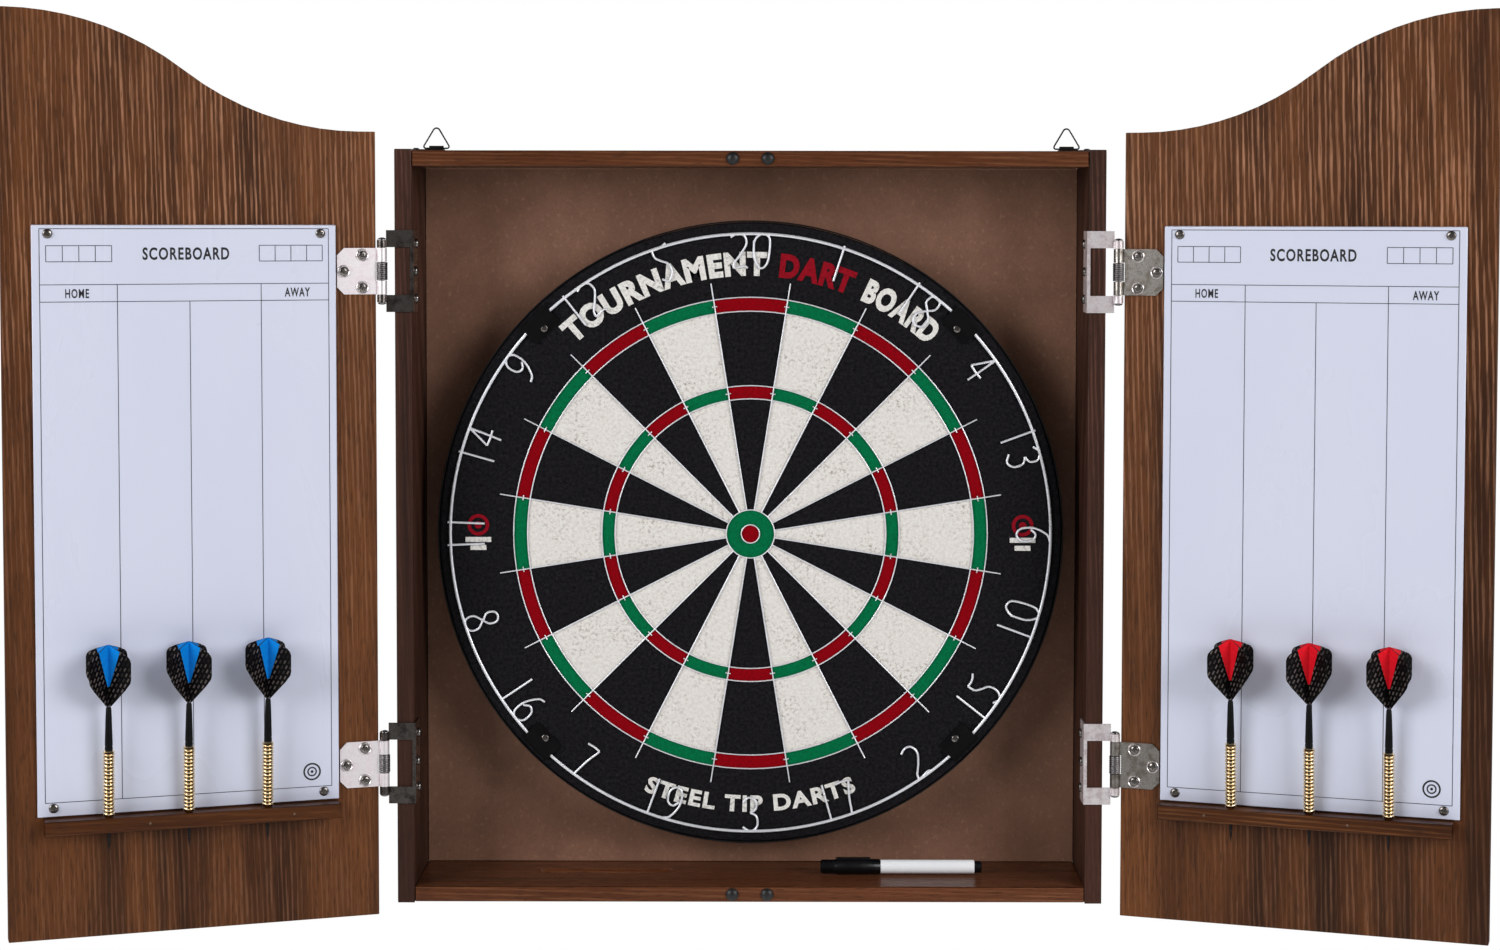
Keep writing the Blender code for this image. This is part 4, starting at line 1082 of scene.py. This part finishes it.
def spider_wires():
    """Rings and the bull's ring, radials laid over them, and a staple over each radial."""
    settings = {"material": "wire", "body": "dartboard", "slot": SLOT_OF["spider"]}
    settings.update({"matrix": BOARD, "replaced": ["spider"]})
    hoops = [circle(r, RING_LIFT) for r in (BULL_R, OUTER_BULL_R, *TREBLE, *DOUBLE)]
    wire("spider_rings", hoops, RING_WIRE, cyclic=True, **settings)
    radials, staples = [], []
    for sector in range(len(NUMBERS)):
        angle = board_angle(sector + 0.5)
        along = Vector((cos(angle), sin(angle), 0))
        reaches = (OUTER_BULL_R - 0.0004, RADIAL_MIDDLE, RADIAL_END)
        radials.append([(*(along * reach).xy, RADIAL_LIFT) for reach in reaches])
        across = Vector((-along.y, along.x, 0)) * STAPLE_HALF
        for radius in (sum(TREBLE) / 2, sum(DOUBLE) / 2):
            ends = (along * radius - across, along * radius + across)
            staples.append([(*p.xy, STAPLE_LIFT) for p in ends])
    wire("spider_radials", radials, RADIAL_WIRE, **settings)
    wire("spider_staples", staples, STAPLE_WIRE, **settings)


# Number ring


NUMBER_R, NUMBER_WIRE, NUMBER_Z = 0.216, 0.0011, 0.0014
DIGIT_WIRE, DIGIT_HEIGHT, DIGIT_WIDTH, DIGIT_PITCH = 0.00080, 0.0245, 0.0132, 0.0157
DIGITS = {
    "0": [[(-0.42, 0.80), (-0.40, 0.30), (-0.05, 0.0), (0.34, 0.14), (0.44, 0.55), (0.38, 0.90),
           (0.02, 1.0), (-0.30, 0.88), (-0.42, 0.74)]],
    "1": [[(0.0, 0.0), (0.0, 0.5), (0.0, 1.08)]],
    "2": [[(-0.46, 0.92), (-0.10, 1.0), (0.26, 0.94), (0.36, 0.70), (0.05, 0.42), (-0.36, 0.16)],
          [(-0.36, 0.16), (-0.40, 0.03), (-0.20, 0.02), (0.20, 0.06), (0.42, 0.0)]],
    "3": [[(-0.40, 0.86), (-0.08, 1.0), (0.32, 0.90), (0.32, 0.66), (0.0, 0.55)],
          [(0.0, 0.55), (0.34, 0.44), (0.38, 0.16), (0.04, 0.0), (-0.40, 0.12)]],
    "4": [[(0.14, 1.0), (-0.14, 0.66), (-0.44, 0.34)], [(-0.44, 0.34), (0.0, 0.32), (0.46, 0.34)],
          [(0.14, 1.0), (0.14, 0.5), (0.12, 0.0)]],
    "5": [[(0.46, 1.08), (0.10, 0.99), (-0.34, 0.98)], [(-0.34, 0.98), (-0.30, 0.76), (-0.04, 0.62),
          (0.32, 0.46), (0.36, 0.18), (0.06, 0.0), (-0.30, 0.10)]],
    "6": [[(0.34, 0.98), (-0.02, 0.88), (-0.36, 0.50), (-0.32, 0.12), (0.04, 0.0), (0.38, 0.16),
           (0.34, 0.46), (0.02, 0.56), (-0.28, 0.42)]],
    "7": [[(-0.42, 0.98), (0.0, 1.0), (0.40, 0.98)], [(0.40, 0.98), (0.12, 0.52), (-0.06, 0.0)]],
    "8": [[(0.02, 0.54), (-0.32, 0.72), (-0.26, 0.94), (0.02, 1.0), (0.30, 0.92), (0.30, 0.70),
           (0.0, 0.53), (-0.36, 0.32), (-0.32, 0.08), (0.0, 0.0), (0.34, 0.10), (0.36, 0.34), (0.04, 0.52)]],
    "9": [[(-0.34, 0.02), (0.02, 0.12), (0.36, 0.50), (0.32, 0.88), (-0.04, 1.0), (-0.38, 0.84),
           (-0.34, 0.54), (-0.02, 0.44), (0.28, 0.58)]],
}


DIGIT_MIDDLE_R = NUMBER_R - 0.010
INVERTED = NUMBERS[6:15]  # in the lower half the numbers stand with their tops to the middle


def number_paths(number, angle):
    """The wire of a number, hung from the ring."""
    text = str(number)
    paths = []
    for i, digit in enumerate(text):
        shift = (i - (len(text) - 1) / 2) * DIGIT_PITCH
        for stroke in DIGITS[digit]:
            line = []
            for point in flowing([(*p, 0) for p in stroke], 5):
                x = point.x * DIGIT_WIDTH + shift
                y = (point.y - 1) * DIGIT_HEIGHT
                if number in INVERTED:
                    x, y = -x, -point.y * DIGIT_HEIGHT
                lean = angle - x / DIGIT_MIDDLE_R
                radius = NUMBER_R + y
                line.append((radius * cos(lean), radius * sin(lean), NUMBER_Z - 0.0001))
            paths.append(line)
    return paths


def number_ring():
    settings = {"material": "wire", "body": "number_ring", "slot": SLOT_OF["number_ring"]}
    settings.update({"matrix": BOARD, "replaced": ["number_ring"]})
    hoop = [circle(NUMBER_R, NUMBER_Z, 200)]
    wire("number_ring_hoop", hoop, NUMBER_WIRE, cyclic=True, sides=5, **settings)
    for sector, number in enumerate(NUMBERS):
        paths = number_paths(number, board_angle(sector))
        wire(f"number_{number}", paths, DIGIT_WIRE, sides=3, **settings)


CLIP_LENGTH, CLIP_TOP = 0.0235, 0.0037
CLIP_SECTION = [(-0.0110, 0.0001), (-0.0110, 0.0012), (-0.0045, CLIP_TOP), (0.0036, CLIP_TOP)]
CLIP_SECTION += [(0.0046, 0.0030), (0.0046, 0.0001), (0.0022, 0.0001), (0.0022, 0.0029)]
CLIP_SECTION += [(-0.0022, 0.0029), (-0.0022, 0.0001)]


def clip_mesh():
    """A block that bridges the number ring. Its X runs round the board, Y outward, Z to the player."""
    bm = bmesh.new()
    faces = slab(bm, CLIP_SECTION, -CLIP_LENGTH / 2, CLIP_LENGTH / 2)
    for vertex in {v for face in faces for v in face.verts}:
        y, z, x = vertex.co
        vertex.co = (x, y, z)
    return made_mesh("clip", bm, 0)


def ring_clips():
    mesh = clip_mesh()
    for i in range(4):
        angle = pi / 4 + i * pi / 2
        outward = Vector((cos(angle), sin(angle), 0))
        turn = Matrix.Rotation(angle - pi / 2, 4, "Z")
        place = BOARD @ Matrix.Translation(outward * NUMBER_R) @ turn
        keep(f"ring_clip_{i}", mesh, "clip", "dartboard", "black_rubber", place)
        seat = BOARD @ (outward * (NUMBER_R - 0.0066) + Vector((0, 0, CLIP_TOP - 0.0008)))
        screw(f"ring_clip_screw_{i}", CLIP_SCREW, "dartboard", "nickel", seat, (0, -1, 0))


# Printing on the board


PRINT_Z, BOARD_PRINT_T = -0.00002, 0.0001
ARC_WORDS = (("TOURNAMENT", -42.8, 3.4, "print_white"), ("DART", 6.2, 22.2, "print_red"))
ARC_WORDS += (("BOARD", 25.0, 42.8, "print_white"),)
LOWER_WORDS = (("STEEL TIP DARTS", -22.4, 22.4, "print_white"),)
ARC_BAND, LOWER_BAND = (0.1870, 0.2030), (0.1900, 0.2016)
ARC_WEIGHT, LOWER_WEIGHT, ARC_SPACING = 0.0012, 0.0006, 1.14


def bend(bm, radius, angle, lower):
    """Wraps flat lettering round the board, at an angle in radians clockwise from the top or bottom."""
    hand = -1 if lower else 1
    for vertex in bm.verts:
        turn = vertex.co.x / radius + angle
        reach = radius + hand * vertex.co.y
        vertex.co = (reach * sin(turn), hand * reach * cos(turn), vertex.co.z)


def arc_words(words, band, weight, lower):
    inner, outer = band
    radius = (inner + outer) / 2
    for text, start, end, material in words:
        bm = lettering(text, outer - inner, 1.0, weight, BOARD_PRINT_T, ARC_SPACING)
        xs = [v.co.x for v in bm.verts]
        middle, width = (max(xs) + min(xs)) / 2, max(xs) - min(xs)
        share = radians(end - start) * radius / width
        for vertex in bm.verts:
            vertex.co.x = (vertex.co.x - middle) * share
            vertex.co.z += PRINT_Z
        bend(bm, radius, radians(start + end) / 2, lower)
        label = "print_" + text.lower().replace(" ", "_")
        keep(label, made_mesh(label, bm, 0), material, "dartboard", "sisal", BOARD)


MARK_X, MARK_R, MARK_HEIGHT = 0.1960, 0.0078, 0.0062
MARK_BAR = (0.0185, 0.0036)  # width and height of the wider bar


def flat_ring(bm, outer, inner, height, y, segments=40):
    """Adds a thin closed ring, or a disc when `inner` is 0, round the point (0, y)."""
    def row(radius, z):
        return [bm.verts.new((px, y + py, z)) for px, py, _ in circle(radius, z, segments)]

    rows = [row(outer, 0.0), row(outer, height)]
    if inner:
        rows += [row(inner, height), row(inner, 0.0)]
        for first, second in zip(rows, rows[1:] + rows[:1]):
            join_rows(bm, first, second)
    else:
        join_rows(bm, *rows)
        bm.faces.new(rows[1])
        bm.faces.new(list(reversed(rows[0])))


def side_marks():
    """Plain marks at the 9 and 3 o'clock places: a red ring and dot over two white bars."""
    for name, hand in (("left", -1), ("right", 1)):
        place = BOARD @ Matrix.Translation((hand * MARK_X, 0, PRINT_Z))
        bm = bmesh.new()
        flat_ring(bm, MARK_R, MARK_R * 0.68, BOARD_PRINT_T, MARK_HEIGHT)
        flat_ring(bm, MARK_R * 0.34, 0, BOARD_PRINT_T, MARK_HEIGHT)
        mesh = made_mesh("mark_ring", bm, 0)
        keep(f"{name}_mark_ring", mesh, "print_red", "dartboard", "sisal", place)
        bm = bmesh.new()
        width, height = MARK_BAR
        for i, share in enumerate((1.0, 0.62)):
            low = -MARK_HEIGHT - i * height * 1.6
            half = width * share / 2
            slab(bm, rectangle(-half, low, half, low + height), 0.0, BOARD_PRINT_T)
        mesh = made_mesh("mark_bars", bm, 0)
        keep(f"{name}_mark_bars", mesh, "print_white", "dartboard", "sisal", place)


# Marker


MARKER_AXIS = (-0.046, -0.2498)
CAP_X, BODY_X, BODY_END = 0.0510, 0.0943, 0.1675
CAP_R, BODY_R, PLUG_R, PLUG_LENGTH = 0.0056, 0.0050, 0.0043, 0.0052
NECK_R, NECK_LENGTH, NIB_R, NIB_LENGTH = 0.0042, 0.011, 0.0017, 0.009
CAP_LENGTH, CAP_BORE_R, CAP_END = 0.0430, 0.0046, 0.0040
NOSE_R, NOSE_END, SHOULDER_END = 0.0050, 0.0095, 0.0120
NIB_ROOM_R, NIB_ROOM_END = 0.0036, CAP_END + 0.008
CAP_CLIP = (0.0030, 0.0250, 0.0012)  # width, length and corner radius
CAP_CLIP_MIDDLE = 0.0236


def marker_frame(x):
    return facing((x, *MARKER_AXIS), (1, 0, 0))


def marker_body():
    length = BODY_END - BODY_X
    seam = length - PLUG_LENGTH
    tube = [(0, seam), (BODY_R - 0.0004, seam), (BODY_R, seam - 0.0004), (BODY_R, 0.0003)]
    tube += [(BODY_R - 0.0003, 0), (0, 0)]
    plug = [(0, length), (PLUG_R - 0.0006, length), (PLUG_R, length - 0.0007), (PLUG_R, seam), (0, seam)]
    neck = [(0, -0.00002), (NECK_R, -0.00002), (NECK_R, -NECK_LENGTH), (NIB_R, -NECK_LENGTH - 0.0018)]
    neck += [(NIB_R, -NECK_LENGTH - NIB_LENGTH + 0.001), (0, -NECK_LENGTH - NIB_LENGTH)]
    pieces = [("tube", tube, 40, "pen_white", "marker_body")]
    pieces += [("plug", plug, 40, "pen_black", "marker_cap"), ("neck", neck, 32, "pen_black", "marker_cap")]
    place = marker_frame(BODY_X)
    for name, profile, segments, material, like in pieces:
        mesh = lathe(name, profile, segments)
        keep(f"marker_{name}", mesh, material, "marker", SLOT_OF[like], place, ["marker_body"])


def marker_cap():
    cap = [(0, 0), (NOSE_R - 0.0008, 0), (NOSE_R, 0.0008), (NOSE_R, NOSE_END)]
    cap += [(CAP_R - 0.0003, NOSE_END + 0.0015), (CAP_R, SHOULDER_END), (CAP_R, CAP_LENGTH - 0.0006)]
    cap += [(CAP_R - 0.0004, CAP_LENGTH), (CAP_BORE_R, CAP_LENGTH), (CAP_BORE_R, NIB_ROOM_END + 0.001)]
    cap += [(NIB_ROOM_R, NIB_ROOM_END), (NIB_ROOM_R, CAP_END), (0, CAP_END)]
    bm = bmesh.new()
    slab(bm, rounded_rectangle(*CAP_CLIP), CAP_R - 0.0008, CAP_R + 0.0011)
    clip = made_mesh("cap_clip", bm)
    lift = Matrix.Translation((CAP_X + CAP_CLIP_MIDDLE, *MARKER_AXIS)) @ Matrix.Rotation(pi / 2, 4, "Z")
    slot = SLOT_OF["marker_cap"]
    pieces = (("shell", lathe("cap", cap, 40), marker_frame(CAP_X)), ("clip", clip, lift))
    for name, mesh, place in pieces:
        keep(f"marker_cap_{name}", mesh, "pen_black", "marker_cap", slot, place, ["marker_cap"])


# Studio


FLOOR_DROP = 1.73  # the bull's height above the floor
FLOOR_R = 4.6
FLOOR_GLOW = 0.25
FADE_START = 1.8
SOFTBOX = 1.7
FRONT_BOX, FRONT_AIM = (2.4, -2.1, 1.0), (0.1, 0, 0.05)
REAR_BOX, REAR_AIM = (2.0, 2.4, 1.6), (0, 0, 0)
FRONT_POWER, REAR_POWER = {-1: 63.0, 1: 64.0}, 45.0
BACKDROP_LIGHT = 0.10


def floor_paint():
    """Pale paint with a painted glow that grows towards the floor's edge, so that the edge is lost in the
    backdrop.
    """
    shader = Shader("floor_paint", Roughness=0.7, Emission_Strength=1.0)
    reach = shader.node("VectorMath", {0: shader.point}, output="Value", operation="LENGTH")
    fade = shader.spread(reach, FADE_START, FLOOR_R)
    mottle = shader.spread(shader.noise(shader.mapped([6] * 3), detail=4), 0.36, 0.64)
    near = [FLOOR_GLOW] * 3 + [1]
    glow = shader.mix(fade, near, (1, 1, 1, 1))
    color = shader.mix(mottle, rgb(232, 232, 230), rgb(238, 238, 236))
    return shader.finish(Base_Color=color, Emission_Color=glow)


def studio():
    bpy.context.scene.view_settings.view_transform = "Standard"
    bm = bmesh.new()
    bmesh.ops.create_circle(bm, cap_ends=True, segments=96, radius=FLOOR_R)
    mesh = bpy.data.meshes.new("floor")
    bm.to_mesh(mesh)
    bm.free()
    mesh.materials.append(floor_paint())
    floor = linked("floor", mesh)
    floor.location.z = BULL_Z - FLOOR_DROP
    world()
    for hand, power in FRONT_POWER.items():
        softbox(FRONT_BOX, FRONT_AIM, hand, power)
        softbox(REAR_BOX, REAR_AIM, hand, REAR_POWER)


def world():
    """A white backdrop, with less light from it than the camera sees in it."""
    made = bpy.data.worlds.new("studio")
    made.use_nodes = True
    tree = made.node_tree
    backdrop = tree.nodes["Background"]
    backdrop.inputs["Color"].default_value = (1, 1, 1, 1)
    path = tree.nodes.new("ShaderNodeLightPath")
    level = tree.nodes.new("ShaderNodeMapRange")
    level.inputs["To Min"].default_value = BACKDROP_LIGHT
    level.inputs["To Max"].default_value = 1.0
    tree.links.new(path.outputs["Is Camera Ray"], level.inputs["Value"])
    tree.links.new(level.outputs["Result"], backdrop.inputs["Strength"])
    bpy.context.scene.world = made


def softbox(place, target, hand, power):
    """A square light. With hand -1 its place and its aim are mirrored in X."""
    data = bpy.data.lights.new("softbox", "AREA")
    data.shape = "SQUARE"
    data.size = SOFTBOX
    data.energy = power
    light = linked("softbox", data)
    light.location = (hand * place[0], *place[1:])
    aim = Vector((hand * target[0], *target[1:])) - light.location
    light.rotation_euler = aim.to_track_quat("-Z", "Y").to_euler()


studio()
dress_nodes()
bumpers()
cabinet_screws()
seam_bead()
hinges()
for side in SIDES:
    score_print(side)
    scoreboard_screws(side)
    rack_nails(side)
darts()
sisal()
rim_band()
spider_wires()
number_ring()
ring_clips()
arc_words(ARC_WORDS, ARC_BAND, ARC_WEIGHT, lower=False)
arc_words(LOWER_WORDS, LOWER_BAND, LOWER_WEIGHT, lower=True)
side_marks()
marker_body()
marker_cap()

bpy.context.view_layer.update()
